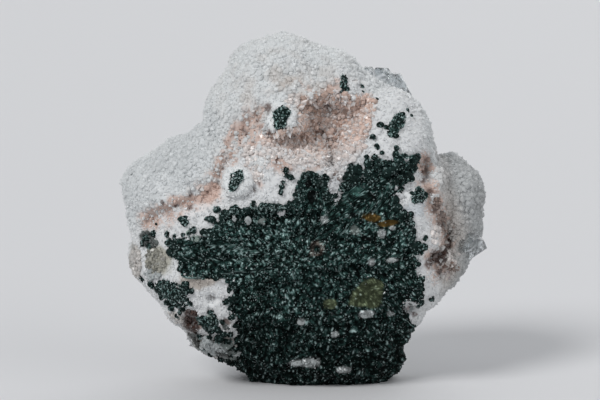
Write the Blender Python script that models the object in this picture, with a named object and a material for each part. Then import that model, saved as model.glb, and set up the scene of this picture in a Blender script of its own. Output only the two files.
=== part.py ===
"""Apophyllite on quartz: a druse of white quartz grown round a plug of green celadonite.

The quartz carries a hollow lined with pink crystals, and clear apophyllite sits on its right shoulder.
The specimen is one rounded body that stands on a flat, broken base. It is worked out as a surface:
rings of points run from a core point in the front face out to the rim, and on to the middle of the back.
Closed plugs then part that body into its minerals, with a thin gap between them.

All sizes below are in millimetres, and MM turns them into metres. X runs to the right seen from the
front, Y from the front to the back and Z upwards from the base.
"""

import itertools
import math

import bmesh
import bpy
import numpy as np
from mathutils import Euler, Matrix, Vector

MM = 0.001

# The core point, in the front face, that every ring of points runs round.
CORE_X = -0.75
CORE_Z = 32.75
FRONT_DEPTH = 22.0
BACK_DEPTH = 20.5
MIDDLE_Y = -0.8
ROUNDNESS = 2.6
RINGS = 22
GAP = 0.35

# The outline that the rim follows, seen from the front, from the left tip round over the crown.
RIM = [
    (-45.6, 49.8), (-43.8, 52.7), (-40.3, 54.6), (-36.1, 57.9), (-31.7, 60.4), (-26.6, 62.6),
    (-23.4, 64.8), (-23.6, 68.5), (-22.3, 72.3), (-20.3, 75.1), (-17.4, 80.2), (-14.0, 85.0),
    (-10.8, 85.0), (-7.6, 85.3), (-4.7, 86.5), (-1.0, 84.8), (3.3, 82.9), (7.5, 81.8),
    (11.1, 80.5), (13.8, 78.0), (15.3, 75.8), (19.4, 73.0), (24.3, 72.6), (28.2, 69.4),
    (31.2, 64.8), (31.3, 60.9), (32.0, 57.0), (33.8, 54.8), (37.1, 55.4), (40.8, 53.6),
    (44.0, 50.7), (44.9, 46.6), (45.0, 41.5), (44.2, 34.3), (42.4, 29.8), (38.6, 24.4),
    (34.5, 20.9), (30.6, 18.8), (28.6, 15.9), (27.0, 13.1), (25.9, 10.2), (24.5, 8.1),
    (25.6, 6.1), (24.4, 2.2), (20.2, -1.3), (6.8, -3.8), (-6.8, -3.2), (-13.3, 0.2),
    (-17.2, 4.5), (-22.8, 6.9), (-26.9, 9.0), (-28.8, 12.3), (-32.9, 15.8), (-35.6, 19.6),
    (-40.1, 24.0), (-43.2, 28.0), (-43.5, 32.5), (-42.1, 35.5), (-43.0, 39.2), (-44.5, 44.2),
]

# Where the broken face ends and the natural druse begins, out past the rim where it has no druse.
BROKEN_FACE = [
    (-44.0, 35.4), (-40.0, 40.6), (-34.7, 43.4), (-29.7, 45.4), (-24.8, 46.7), (-20.9, 48.2),
    (-19.7, 50.6), (-20.2, 54.3), (-18.6, 56.3), (-15.7, 57.3), (-13.4, 56.1), (-11.0, 55.2),
    (-8.4, 55.6), (-5.6, 57.5), (-0.8, 58.1), (3.6, 57.4), (6.0, 53.7), (7.2, 53.0),
    (19.2, 73.8), (25.4, 72.1), (28.7, 69.4), (29.1, 64.7), (29.7, 58.8), (30.4, 53.7),
    (31.6, 49.8), (33.4, 45.2), (35.1, 40.4), (34.5, 36.9), (31.2, 34.1), (31.7, 29.9),
    (33.7, 25.6), (40.0, 20.0), (20.0, -10.0), (-40.0, -10.0), (-56.0, 20.0),
]

# The edge of the green plug in the front face, out past the rim along the base.
GREEN_EDGE = [
    (-33.5, 36.2), (-30.5, 38.2), (-22.0, 38.8), (-21.1, 41.6), (-19.4, 44.0), (-17.1, 45.7),
    (-14.4, 45.2), (-13.2, 45.1), (-12.3, 47.0), (-9.7, 45.4), (-9.4, 46.7), (-6.7, 46.6),
    (-4.8, 45.6), (-3.8, 46.8), (-2.1, 47.2), (-1.5, 49.8), (-0.0, 53.7), (2.6, 54.4),
    (5.5, 53.1), (5.5, 50.4), (5.4, 48.5), (6.7, 47.6), (12.5, 55.5), (13.6, 55.9),
    (14.1, 55.7), (13.4, 54.4), (15.5, 56.5), (17.5, 58.2), (18.4, 56.9), (17.9, 55.4),
    (19.8, 56.8), (20.2, 56.7), (22.7, 58.6), (24.2, 59.1), (23.1, 57.1), (26.1, 58.3),
    (27.9, 57.4), (27.9, 55.0), (26.3, 52.9), (23.9, 50.9), (22.5, 49.5), (22.6, 47.2),
    (23.3, 45.1), (25.9, 43.9), (26.8, 41.7), (26.4, 39.1), (26.0, 37.8), (28.2, 37.1),
    (29.9, 36.1), (29.7, 35.1), (27.7, 34.5), (26.9, 32.6), (27.7, 30.2), (28.6, 28.0),
    (28.9, 25.4), (28.2, 22.9), (24.2, 22.3), (24.8, 19.7), (26.4, 17.0), (30.0, 12.0),
    (34.0, 6.0), (30.0, -12.0), (-10.0, -12.0), (-22.0, 0.0), (-17.2, 9.7), (-15.7, 14.9),
    (-16.2, 18.6), (-18.2, 21.0), (-17.4, 24.3), (-17.1, 27.6), (-19.2, 28.5), (-21.0, 29.3),
    (-24.3, 28.9), (-27.4, 28.6), (-29.5, 29.3), (-29.8, 32.5), (-31.8, 34.0),
]

# The lip of the hollow that the pink crystals line, round its own middle.
HOLLOW_X = 3.6
HOLLOW_Z = 64.8
HOLLOW_DEPTH = 7.0
HOLLOW_LIP = [
    (16.8, 71.0), (16.5, 68.3), (15.7, 65.3), (14.7, 61.9), (13.7, 59.2), (11.3, 57.3),
    (9.5, 55.5), (8.1, 52.8), (6.5, 53.9), (4.6, 56.7), (0.4, 57.9), (-4.3, 57.9),
    (-8.0, 59.3), (-10.4, 62.6), (-6.1, 64.0), (-1.5, 65.2), (-0.8, 68.6), (-0.0, 71.6),
    (3.6, 72.5), (10.1, 71.7),
]
CRUST_THICKNESS = 2.4

# Domes that the druse grew as, each (x, z, radius), on the front and on the back.
FRONT_DOMES = [
    (-33.0, 52.0, 17.0), (-10.0, 76.0, 16.0), (7.0, 75.0, 10.0), (38.5, 44.0, 14.0), (38.0, 31.0, 9.0),
    (-12.5, 61.0, 9.0),
]
BACK_DOMES = [
    (-30.0, 50.0, 17.0), (-14.0, 68.0, 16.0), (6.0, 71.0, 15.0), (21.0, 58.0, 13.0),
    (34.0, 41.0, 15.0), (3.0, 47.0, 19.0), (-24.0, 28.0, 17.0), (15.0, 25.0, 17.0),
    (-5.0, 17.0, 14.0), (-11.0, 38.0, 12.0),
]
DOME_HEIGHT = 0.3

# Grooves in the front face, each (path, half width, depth).
PINK_BAND = [
    (-37.3, 41.6), (-30.8, 45.8), (-23.5, 48.8), (-19.5, 52.5), (-17.8, 57.8), (-14.9, 63.1), (-9.9, 68.6),
]
RIGHT_CREVICE = [
    (29.6, 55.8), (30.1, 51.3), (31.4, 47.0), (33.6, 41.5), (35.2, 37.3), (34.2, 35.0), (31.7, 32.8),
    (33.4, 28.8),
]
LOBE_VALLEY = [(-24.3, 66.2), (-19.3, 61.9), (-16.8, 57.4)]
GROOVES = [(PINK_BAND, 2.0, 1.8), (RIGHT_CREVICE, 2.4, 3.6), (LOBE_VALLEY, 2.6, 1.6)]

# Round pits (x, z, radius, depth), and knobs that stand out of the face (x, z, radius, height).
PITS = [
    (31.8, 32.8, 3.0, 2.4),
    (-27.3, 17.3, 2.2, 2.4),
    (-22.1, 23.5, 1.8, 1.5),
    (3.2, 7.8, 2.0, 1.8),
    (25.8, 20.3, 2.4, 1.8),
]
KNOBS = [(-5.3, 67.5, 4.1, 2.6), (-16.0, 52.4, 3.8, 1.8)]

# Ledges across the green face, each (x and z along it, how far the rock below steps back).
LEDGES = [
    ([(-15.4, 27.3), (-1.9, 28.9), (9.6, 31.9), (27.0, 30.5)], 1.3),
    ([(-17.4, 19.2), (-5.8, 17.5), (7.7, 18.5), (25.3, 20.9)], 1.5),
    ([(-13.7, 10.2), (1.9, 11.9), (13.6, 9.7), (24.8, 10.0)], 1.6),
]

# Celadonite that the quartz closed round, each (x, z, half width, half height, tilt in degrees).
CORES = {
    "celadonite_core_upper": (-5.3, 67.7, 1.9, 2.8, -20),
    "celadonite_core_left": (-16.1, 52.9, 1.5, 2.9, -25),
    "celadonite_seam_right": (22.7, 65.4, 1.6, 3.6, -35),
    "celadonite_nodule_right": (27.9, 48.4, 2.1, 1.8, 0),
    "celadonite_nodule_top": (9.9, 74.9, 1.0, 2.2, 10),
    "celadonite_patch_left": (-31.7, 24.3, 4.8, 3.2, -30),
    "celadonite_patch_low": (-23.1, 17.2, 3.0, 2.1, -20),
}
CORE_DEPTH = 3.5

# Apophyllite blocks, each (x, y, z of the foot, half width, length, lean to the right and back in degrees).
SHOULDER_BLOCKS = [
    (16.6, 7.0, 68.2, 1.9, 9.9, (3, -3, 15)),
    (19.4, 7.6, 67.0, 2.3, 10.8, (-2, 3, 8)),
    (22.5, 7.2, 65.8, 2.3, 10.7, (3, 3, 24)),
    (20.6, 11.2, 65.0, 2.7, 10.4, (-16, 2, 60)),
    (23.4, 11.6, 63.6, 2.3, 10.6, (-20, 9, 35)),
    (20.4, 14.2, 62.0, 2.6, 10.5, (-36, 2, 12)),
]
EDGE_BLOCKS = [
    (40.2, 1.0, 33.2, 2.4, 9.0, (72, 8, 15)),
    (42.0, 1.6, 32.4, 2.1, 8.0, (68, 28, 60)),
]

QUARTZ_RISE = 1.3
COLOURS = {
    "quartz": ((0.80, 0.81, 0.78), 0.45),
    "crust": ((0.66, 0.47, 0.38), 0.4),
    "celadonite": ((0.030, 0.075, 0.062), 0.6),
    "apophyllite": ((0.62, 0.66, 0.67), 0.15),
}


def clear_scene():
    for thing in list(bpy.data.objects):
        bpy.data.objects.remove(thing)


def rise(value, low, high):
    """A smooth step from 0 at low to 1 at high."""
    share = np.clip((value - low) / (high - low), 0, 1)
    return share * share * (3 - 2 * share)


def lumps(points, size, seed):
    """Smooth random lumps about size across, from -1 to 1: one value for each corner of a cubic grid,
    blended over each cube."""
    scaled = points / size + 7.31 * seed
    cell = np.floor(scaled).astype(np.int64)
    part = scaled - cell
    part = part * part * (3 - 2 * part)
    total = np.zeros(len(points))
    for corner in itertools.product((0, 1), repeat=3):
        at = cell + np.array(corner)
        code = (at[:, 0] * 73856093) ^ (at[:, 1] * 19349663) ^ (at[:, 2] * 83492791)
        code = ((code ^ (code >> 11)) * 2654435761) & 0xFFFFFFFF
        value = ((code ^ (code >> 15)) & 0xFFFF) / 32767.5 - 1
        total += value * np.prod(np.where(corner, part, 1 - part), axis=1)
    return total


def reach(outline, x, z, turn):
    """How far an outline lies from the point (x, z) in the directions turn, with its corners eased."""
    across = np.array(outline) - (x, z)
    angle = np.arctan2(across[:, 1], across[:, 0])
    far = np.hypot(across[:, 0], across[:, 1])
    order = np.argsort(angle)
    ease = np.radians([-1.5, -0.75, 0.0, 0.75, 1.5])
    spread = [np.interp(turn + step, angle[order], far[order], period=math.tau) for step in ease]
    return np.mean(spread, axis=0)


def away_from(path, x, z):
    """The distance from each point to a path of straight runs."""
    nearest = np.full(np.shape(x), np.inf)
    for (x0, z0), (x1, z1) in itertools.pairwise(path):
        along = ((x - x0) * (x1 - x0) + (z - z0) * (z1 - z0)) / ((x1 - x0) ** 2 + (z1 - z0) ** 2)
        along = np.clip(along, 0, 1)
        nearest = np.minimum(nearest, np.hypot(x - x0 - along * (x1 - x0), z - z0 - along * (z1 - z0)))
    return nearest


def domes(x, z, spread):
    """The tallest dome over each point, with a crease where two domes meet."""
    heights = [np.sqrt(np.maximum(r * r - (x - cx) ** 2 - (z - cz) ** 2, 0)) for cx, cz, r in spread]
    return DOME_HEIGHT * np.maximum.reduce(heights)


def past(outline, x, z):
    """How far each point lies outside an outline round the core, negative inside it."""
    turn = np.arctan2(z - CORE_Z, x - CORE_X)
    return np.hypot(x - CORE_X, z - CORE_Z) - reach(outline, CORE_X, CORE_Z, turn)


def in_hollow(x, z):
    """0 in the middle of the hollow, 1 at its lip."""
    turn = np.arctan2(z - HOLLOW_Z, x - HOLLOW_X)
    return np.hypot(x - HOLLOW_X, z - HOLLOW_Z) / reach(HOLLOW_LIP, HOLLOW_X, HOLLOW_Z, turn)


def rim_y(x, z):
    """Where the rim lies from front to back: the crown leans back and the right lobe stands well behind."""
    crown = 4.0 * rise(z, 52, 84)
    lobe = 8.0 * rise(x, 31.5, 36.5) * rise(z, 60, 54)
    tip = 2.5 * rise(-x, 26, 44)
    return MIDDLE_Y + crown + lobe + tip


def fullness(share):
    """The thickness left at a share of the way from the core to the rim: a rounded box, 1 to 0."""
    return np.maximum(1 - share**ROUNDNESS, 0) ** (1 / ROUNDNESS)


def front_relief(x, z):
    """How far the front face is pushed back at each point, negative where it stands out."""
    relief = HOLLOW_DEPTH * rise(in_hollow(x, z), 1.0, 0.55) * (1 - 0.5 * rise(x, 7, 13))
    for path, half, depth in GROOVES:
        relief = relief + depth * np.exp(-((away_from(path, x, z) / half) ** 2))
    for cx, cz, radius, depth in PITS:
        relief = relief + depth * rise(np.hypot(x - cx, z - cz), radius, 0.4 * radius)
    for cx, cz, radius, height in KNOBS:
        relief = relief - height * rise(np.hypot(x - cx, z - cz), 1.1 * radius, 0.75 * radius)
    for path, depth in LEDGES:
        line = np.interp(x, [p[0] for p in path], [p[1] for p in path])
        ends = rise(x, path[0][0] - 3, path[0][0] + 3) * rise(x, path[-1][0] + 3, path[-1][0] - 3)
        relief = relief + depth * rise(line - z, -0.6, 1.0) * ends
    druse = rise(past(BROKEN_FACE, x, z), 0, 4)
    undercut = 1.2 * rise(z, 6.0, 0.0)
    return relief + druse * (2.8 - 0.8 * domes(x, z, FRONT_DOMES)) + undercut


def share_of_rim(x, z):
    turn = np.arctan2(z - CORE_Z, x - CORE_X)
    return np.hypot(x - CORE_X, z - CORE_Z) / reach(RIM, CORE_X, CORE_Z, turn)


def front_y(x, z):
    """The front face without its grain."""
    full = fullness(np.minimum(share_of_rim(x, z), 1))
    return rim_y(x, z) - FRONT_DEPTH * full + front_relief(x, z) * rise(full, 0.05, 0.65)


def back_y(x, z):
    """The back without its grain. It swells gradually over to the right lobe."""
    full = fullness(np.minimum(share_of_rim(x, z), 1))
    swell = 8.0 * (rise(x, 14, 42) - rise(x, 31.5, 36.5)) * rise(z, 62, 50) * rise(full, 0.0, 0.5)
    lumpy = (domes(x, z, BACK_DOMES) - 3.6) * rise(full, 0.05, 0.65)
    return rim_y(x, z) + BACK_DEPTH * full + lumpy + swell


def ring_shares(rings):
    """Shares of the way from the core to the rim that space the rings evenly along the rounded section."""
    share = np.sin(np.linspace(0, math.pi / 2, 600)) ** (2 / ROUNDNESS)
    deep = FRONT_DEPTH * fullness(share)
    wide = 44.0 * share
    length = np.concatenate([[0], np.cumsum(np.hypot(np.diff(wide), np.diff(deep)))])
    return np.interp(np.linspace(0, length[-1], rings + 1), length, share)


def disc_lattice(rings):
    """A disc of even triangles: ring k has 6k points. Returns each point's ring and turn, its colour
    (0, 1 or 2, no two neighbours alike) and the triangles, anticlockwise seen from the front."""
    corner = np.array([(1, 0), (0, 1), (-1, 1), (-1, 0), (0, -1), (1, -1)])
    ring_of, turn, colour, faces = [0], [0.0], [0], []
    first = [0]
    for ring in range(1, rings + 1):
        first.append(len(ring_of))
        for side, step in itertools.product(range(6), range(ring)):
            place = ring * corner[side] + step * corner[(side + 2) % 6]
            ring_of.append(ring)
            turn.append(math.tau * (side * ring + step) / (6 * ring))
            colour.append(int(place[0] - place[1]) % 3)
            outer = first[ring] + side * ring + step
            onward = first[ring] + (side * ring + step + 1) % (6 * ring)
            inside = max(6 * (ring - 1), 1)
            inner = first[ring - 1] + (side * (ring - 1) + step) % inside
            faces.append((outer, onward, inner))
            if step < ring - 1:
                faces.append((inner, onward, first[ring - 1] + (side * (ring - 1) + step + 1) % inside))
    return np.array(ring_of), np.array(turn), np.array(colour), np.array(faces)


def normals_of(points, faces):
    """The outward direction at each point: the sum of the faces round it, made one long."""
    a, b, c = (points[faces[:, i]] for i in range(3))
    face = np.cross(b - a, c - a)
    total = np.zeros_like(points)
    for i in range(3):
        np.add.at(total, faces[:, i], face)
    return total / np.maximum(np.linalg.norm(total, axis=1), 1e-9)[:, None]


def body():
    """Points and triangles of the whole specimen, with six-sided quartz points over the druse: one
    lattice point in three is raised, and its six neighbours are the foot of that crystal."""
    ring, turn, colour, faces = disc_lattice(RINGS)
    far = ring_shares(RINGS)[ring] * reach(RIM, CORE_X, CORE_Z, turn)
    x = CORE_X + far * np.cos(turn)
    z = CORE_Z + far * np.sin(turn)
    front = np.stack([x, front_y(x, z), z], axis=1)
    back = np.stack([x, back_y(x, z), z], axis=1)
    inside = np.flatnonzero(ring < RINGS)
    behind = np.arange(len(x))
    behind[inside] = len(x) + np.arange(len(inside))
    points = np.concatenate([front, back[inside]])
    tint = np.concatenate([colour, colour[inside]])
    at_back = np.arange(len(points)) >= len(x)
    faces = np.concatenate([faces, behind[faces[:, ::-1]]])

    out = normals_of(points, faces)
    grain = 0.7 * lumps(points, 11, 1) + 0.6 * lumps(points, 5, 2)
    points = points + out * grain[:, None]
    px, pz = points[:, 0], points[:, 2]
    druse = at_back | (past(BROKEN_FACE, px, pz) > 0.5)
    lining = ~at_back & (in_hollow(px, pz) < 0.95)
    green = ~at_back & (past(GREEN_EDGE, px, pz) < 0)
    uneven = 1 + 0.45 * lumps(points, 2.3, 3)
    lift = np.where(tint == 0, QUARTZ_RISE, -0.35) * uneven
    lift = np.where(druse | lining, lift, np.where(green, 0.5 * lift, 0.22 * lift))
    points = points + out * lift[:, None]
    return points, faces


def mesh_object(name, points, faces, colour=None, parent=None):
    """A named object from points in millimetres, in its own colour, or a hidden helper without one."""
    mesh = bpy.data.meshes.new(name)
    mesh.from_pydata((np.asarray(points) * MM).tolist(), [], [tuple(map(int, f)) for f in faces])
    made = bpy.data.objects.new(name, mesh)
    bpy.context.scene.collection.objects.link(made)
    if colour is None:
        made.hide_render = True
        made.display_type = "WIRE"
    else:
        mesh.materials.append(material(colour))
        made.parent = parent
    return made


def material(name):
    found = bpy.data.materials.get(name)
    if found is None:
        found = bpy.data.materials.new(name)
        found.use_nodes = True
        shader = found.node_tree.nodes["Principled BSDF"]
        (red, green, blue), rough = COLOURS[name]
        shader.inputs["Base Color"].default_value = (red, green, blue, 1)
        shader.inputs["Roughness"].default_value = rough
        shader.inputs["Metallic"].default_value = 0.0
        if name == "apophyllite":
            shader.inputs["Transmission Weight"].default_value = 0.9
            shader.inputs["IOR"].default_value = 1.54
    return found


def combine(target, other, operation):
    step = target.modifiers.new(f"{operation.lower()} {other.name}", "BOOLEAN")
    step.operation = operation
    step.solver = "EXACT"
    step.object = other
    return step


def settled(target, name):
    """A hidden copy of an object with its modifiers worked out."""
    bpy.context.view_layer.update()
    found = target.evaluated_get(bpy.context.evaluated_depsgraph_get())
    mesh = bpy.data.meshes.new_from_object(found)
    mesh.name = name
    made = bpy.data.objects.new(name, mesh)
    bpy.context.scene.collection.objects.link(made)
    made.hide_render = True
    made.display_type = "WIRE"
    return made


def plug(name, x, z, outline, floor, grow, columns, shares):
    """A closed plug: its side runs straight back along an outline round (x, z) from well in front of
    the body, and its end follows the floor. It is grow larger all round where it cuts a pocket."""
    turn = np.arange(columns) / columns * math.tau
    far = outline(turn)
    ahead = -2 * FRONT_DEPTH
    mouth = far + grow
    points = [np.stack([x + mouth * np.cos(turn), np.full(columns, ahead), z + mouth * np.sin(turn)], 1)]
    for share in shares:
        px, pz = x + share * far * np.cos(turn), z + share * far * np.sin(turn)
        wide = grow * share
        end = floor(px, pz) + grow
        points.append(np.stack([px + wide * np.cos(turn), end, pz + wide * np.sin(turn)], 1))
    end = floor(np.array([x]), np.array([z]))[0] + grow
    points = np.concatenate([*points, [[x, end, z]]])
    faces = [tuple(range(columns))]
    for row in range(len(shares)):
        for i in range(columns):
            on = (i + 1) % columns
            low, high = row * columns, (row + 1) * columns
            faces.append((low + i, high + i, high + on, low + on))
    last = len(shares) * columns
    faces += [(last + i, len(points) - 1, last + (i + 1) % columns) for i in range(columns)]
    return mesh_object(name, points, faces)


def oval(half_wide, half_high, tilt, seed):
    """The outline of an uneven oval, as a function of the direction from its middle."""

    def edge(turn):
        across = turn - math.radians(tilt)
        smooth = 1 / np.hypot(np.cos(across) / half_wide, np.sin(across) / half_high)
        return smooth * (1 + 0.14 * np.sin(3 * turn + seed) + 0.09 * np.sin(5 * turn + 2 * seed))

    return edge


def green_floor(x, z):
    """The back of the green plug: it thins upwards and to both sides."""
    return 6.0 - 0.30 * z - 0.004 * (x - CORE_X) ** 2


def hollow_floor(x, z):
    return front_y(x, z) + CRUST_THICKNESS


def inclusions():
    """Name, colour, plug and plug for its pocket, for each piece that sits in the quartz."""
    parts = [
        (
            "celadonite_matrix", "celadonite", CORE_X, CORE_Z,
            lambda turn: reach(GREEN_EDGE, CORE_X, CORE_Z, turn), green_floor, 60, (1.0, 0.6),
        ),
        (
            "vug_crust", "crust", HOLLOW_X, HOLLOW_Z,
            lambda turn: 1.04 * reach(HOLLOW_LIP, HOLLOW_X, HOLLOW_Z, turn), hollow_floor, 30,
            (1.0, 0.8, 0.6, 0.35),
        ),
    ]
    for seed, (name, (x, z, wide, high, tilt)) in enumerate(CORES.items()):
        depth = float(front_y(np.array([x]), np.array([z]))[0]) + CORE_DEPTH

        def level(px, pz, y=depth):
            return np.full(len(px), y)

        parts.append((name, "celadonite", x, z, oval(wide, high, tilt, seed), level, 12, (1.0,)))
    return parts


def crystal_block(half, length, lean):
    """An apophyllite crystal as a small mesh: a square prism whose top corners are cut by four pyramid
    faces, under a small flat end."""
    cut, flat, shoulder = 0.65 * half, 0.72 * half, length - 0.5 * half
    ring = [(-1, -1), (1, -1), (1, 1), (-1, 1)]
    spokes = [(1, 0), (0, 1), (-1, 0), (0, -1)]
    corners = [(half * sx, half * sy, 0) for sx, sy in ring]
    corners += [(half * sx, half * sy, shoulder - cut) for sx, sy in ring]
    corners += [(half * sx, half * sy, shoulder) for sx, sy in spokes]
    corners += [(flat * sx, flat * sy, length) for sx, sy in spokes]
    block = bmesh.new()
    for corner in corners:
        block.verts.new(corner)
    bmesh.ops.convex_hull(block, input=block.verts)
    loose = [v for v in block.verts if not v.link_faces]
    bmesh.ops.delete(block, geom=loose, context="VERTS")
    turn = Euler([math.radians(a) for a in (lean[0], lean[1], 0)]).to_matrix()
    bmesh.ops.rotate(block, matrix=turn @ Matrix.Rotation(math.radians(lean[2]), 3, "Z"), verts=block.verts)
    return block


def crystal_group(name, blocks, skin, parent):
    """Apophyllite crystals grown together as one solid, cut where they meet the druse's skin."""
    first = None
    for number, (x, y, z, half, length, lean) in enumerate(blocks):
        block = crystal_block(half * MM, length * MM, lean)
        bmesh.ops.translate(block, vec=Vector((x, y, z)) * MM, verts=block.verts)
        mesh = bpy.data.meshes.new(f"{name} block {number}")
        block.to_mesh(mesh)
        block.free()
        made = bpy.data.objects.new(mesh.name, mesh)
        bpy.context.scene.collection.objects.link(made)
        if first is None:
            first = made
            first.name = name
            first.parent = parent
            mesh.materials.append(material("apophyllite"))
        else:
            made.hide_render = True
            made.display_type = "WIRE"
            combine(first, made, "UNION")
    combine(first, skin, "DIFFERENCE")
    return first


def main():
    clear_scene()
    specimen = bpy.data.objects.new("specimen", None)
    bpy.context.scene.collection.objects.link(specimen)

    points, faces = body()
    rough = mesh_object("rough body", points, faces)
    ground = [(sx * 80, sy * 80, sz * 20 - 20) for sz, sy, sx in itertools.product((-1, 1), repeat=3)]
    slab = mesh_object(
        "ground cutter", ground,
        [(0, 2, 3, 1), (4, 5, 7, 6), (0, 1, 5, 4), (2, 6, 7, 3), (0, 4, 6, 2), (1, 3, 7, 5)],
    )
    combine(rough, slab, "DIFFERENCE")
    whole = settled(rough, "whole body")
    skin = mesh_object("druse skin", points + normals_of(points, faces) * GAP, faces)

    quartz = bpy.data.objects.new("quartz_druse", whole.data.copy())
    quartz.data.materials.clear()
    quartz.data.materials.append(material("quartz"))
    bpy.context.scene.collection.objects.link(quartz)
    quartz.parent = specimen
    for name, colour, x, z, outline, floor, columns, shares in inclusions():
        piece = plug(name, x, z, outline, floor, 0.0, columns, shares)
        pocket = plug(f"pocket for {name}", x, z, outline, floor, GAP, columns, shares)
        piece.hide_render = False
        piece.display_type = "TEXTURED"
        piece.parent = specimen
        piece.data.materials.append(material(colour))
        combine(piece, whole, "INTERSECT")
        combine(quartz, pocket, "DIFFERENCE")
    crystal_group("apophyllite_shoulder", SHOULDER_BLOCKS, skin, specimen)
    crystal_group("apophyllite_edge", EDGE_BLOCKS, skin, specimen)


main()
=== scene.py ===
"""Apophyllite on quartz, dressed for the camera: white quartz druse round a core of green celadonite.

The mass of the specimen is the surface that the solids have, drawn finer. Its crystals are thousands
of small six-sided points set on that surface. Lengths are in millimetres until MM turns them to metres.
X runs to the right seen from the front, Y from the front to the back and Z up from the base.
"""

import itertools
import math

import bmesh
import bpy
import numpy as np
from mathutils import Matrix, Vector


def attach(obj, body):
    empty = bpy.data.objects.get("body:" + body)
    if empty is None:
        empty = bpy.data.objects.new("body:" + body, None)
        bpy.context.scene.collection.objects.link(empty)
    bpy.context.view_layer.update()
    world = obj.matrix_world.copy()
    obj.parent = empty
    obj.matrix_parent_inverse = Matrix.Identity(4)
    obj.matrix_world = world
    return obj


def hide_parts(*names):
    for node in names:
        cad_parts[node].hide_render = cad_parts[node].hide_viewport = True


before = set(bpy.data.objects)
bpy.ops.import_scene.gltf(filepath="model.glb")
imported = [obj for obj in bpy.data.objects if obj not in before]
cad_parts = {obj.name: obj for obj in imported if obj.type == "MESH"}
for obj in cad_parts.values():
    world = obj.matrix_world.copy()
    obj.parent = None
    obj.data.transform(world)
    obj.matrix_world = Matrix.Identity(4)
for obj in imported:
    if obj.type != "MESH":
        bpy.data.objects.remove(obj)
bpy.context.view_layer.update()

MM = 0.001

# The mass of the specimen, with the values of its solids. The core point lies in the front face, and
# every ring of points runs round it. GAP is what the quartz's pockets are larger by, and HALF_WIDTH
# spaces the rings.
CORE_X = -0.75
CORE_Z = 32.75
FRONT_DEPTH = 22.0
BACK_DEPTH = 20.5
MIDDLE_Y = -0.8
ROUNDNESS = 2.6
GAP = 0.35
HALF_WIDTH = 44.0

# Most places in the tables below were read by eye off the photograph. Scratch scripts turned them to
# millimetres, with the perspective allowed for, and moved the rim's points by up to about 2 mm to meet
# the photograph's silhouette.

# Outlines seen from the front: the rim, where the broken face ends and the natural druse begins, and
# the edge of the green plug.
RIM = [
    (-45.6, 49.8), (-43.8, 52.7), (-40.3, 54.6), (-36.1, 57.9), (-31.7, 60.4), (-26.6, 62.6),
    (-23.4, 64.8), (-23.6, 68.5), (-22.3, 72.3), (-20.3, 75.1), (-17.4, 80.2), (-14.0, 85.0),
    (-10.8, 85.0), (-7.6, 85.3), (-4.7, 86.5), (-1.0, 84.8), (3.3, 82.9), (7.5, 81.8),
    (11.1, 80.5), (13.8, 78.0), (15.3, 75.8), (19.4, 73.0), (24.3, 72.6), (28.2, 69.4),
    (31.2, 64.8), (31.3, 60.9), (32.0, 57.0), (33.8, 54.8), (37.1, 55.4), (40.8, 53.6),
    (44.0, 50.7), (44.9, 46.6), (45.0, 41.5), (44.2, 34.3), (42.4, 29.8), (38.6, 24.4),
    (34.5, 20.9), (30.6, 18.8), (28.6, 15.9), (27.0, 13.1), (25.9, 10.2), (24.5, 8.1),
    (25.6, 6.1), (24.4, 2.2), (20.2, -1.3), (6.8, -3.8), (-6.8, -3.2), (-13.3, 0.2),
    (-17.2, 4.5), (-22.8, 6.9), (-26.9, 9.0), (-28.8, 12.3), (-32.9, 15.8), (-35.6, 19.6),
    (-40.1, 24.0), (-43.2, 28.0), (-43.5, 32.5), (-42.1, 35.5), (-43.0, 39.2), (-44.5, 44.2),
]
BROKEN_FACE = [
    (-44.0, 35.4), (-40.0, 40.6), (-34.7, 43.4), (-29.7, 45.4), (-24.8, 46.7), (-20.9, 48.2),
    (-19.7, 50.6), (-20.2, 54.3), (-18.6, 56.3), (-15.7, 57.3), (-13.4, 56.1), (-11.0, 55.2),
    (-8.4, 55.6), (-5.6, 57.5), (-0.8, 58.1), (3.6, 57.4), (6.0, 53.7), (7.2, 53.0),
    (19.2, 73.8), (25.4, 72.1), (28.7, 69.4), (29.1, 64.7), (29.7, 58.8), (30.4, 53.7),
    (31.6, 49.8), (33.4, 45.2), (35.1, 40.4), (34.5, 36.9), (31.2, 34.1), (31.7, 29.9),
    (33.7, 25.6), (40.0, 20.0), (20.0, -10.0), (-40.0, -10.0), (-56.0, 20.0),
]
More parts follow.
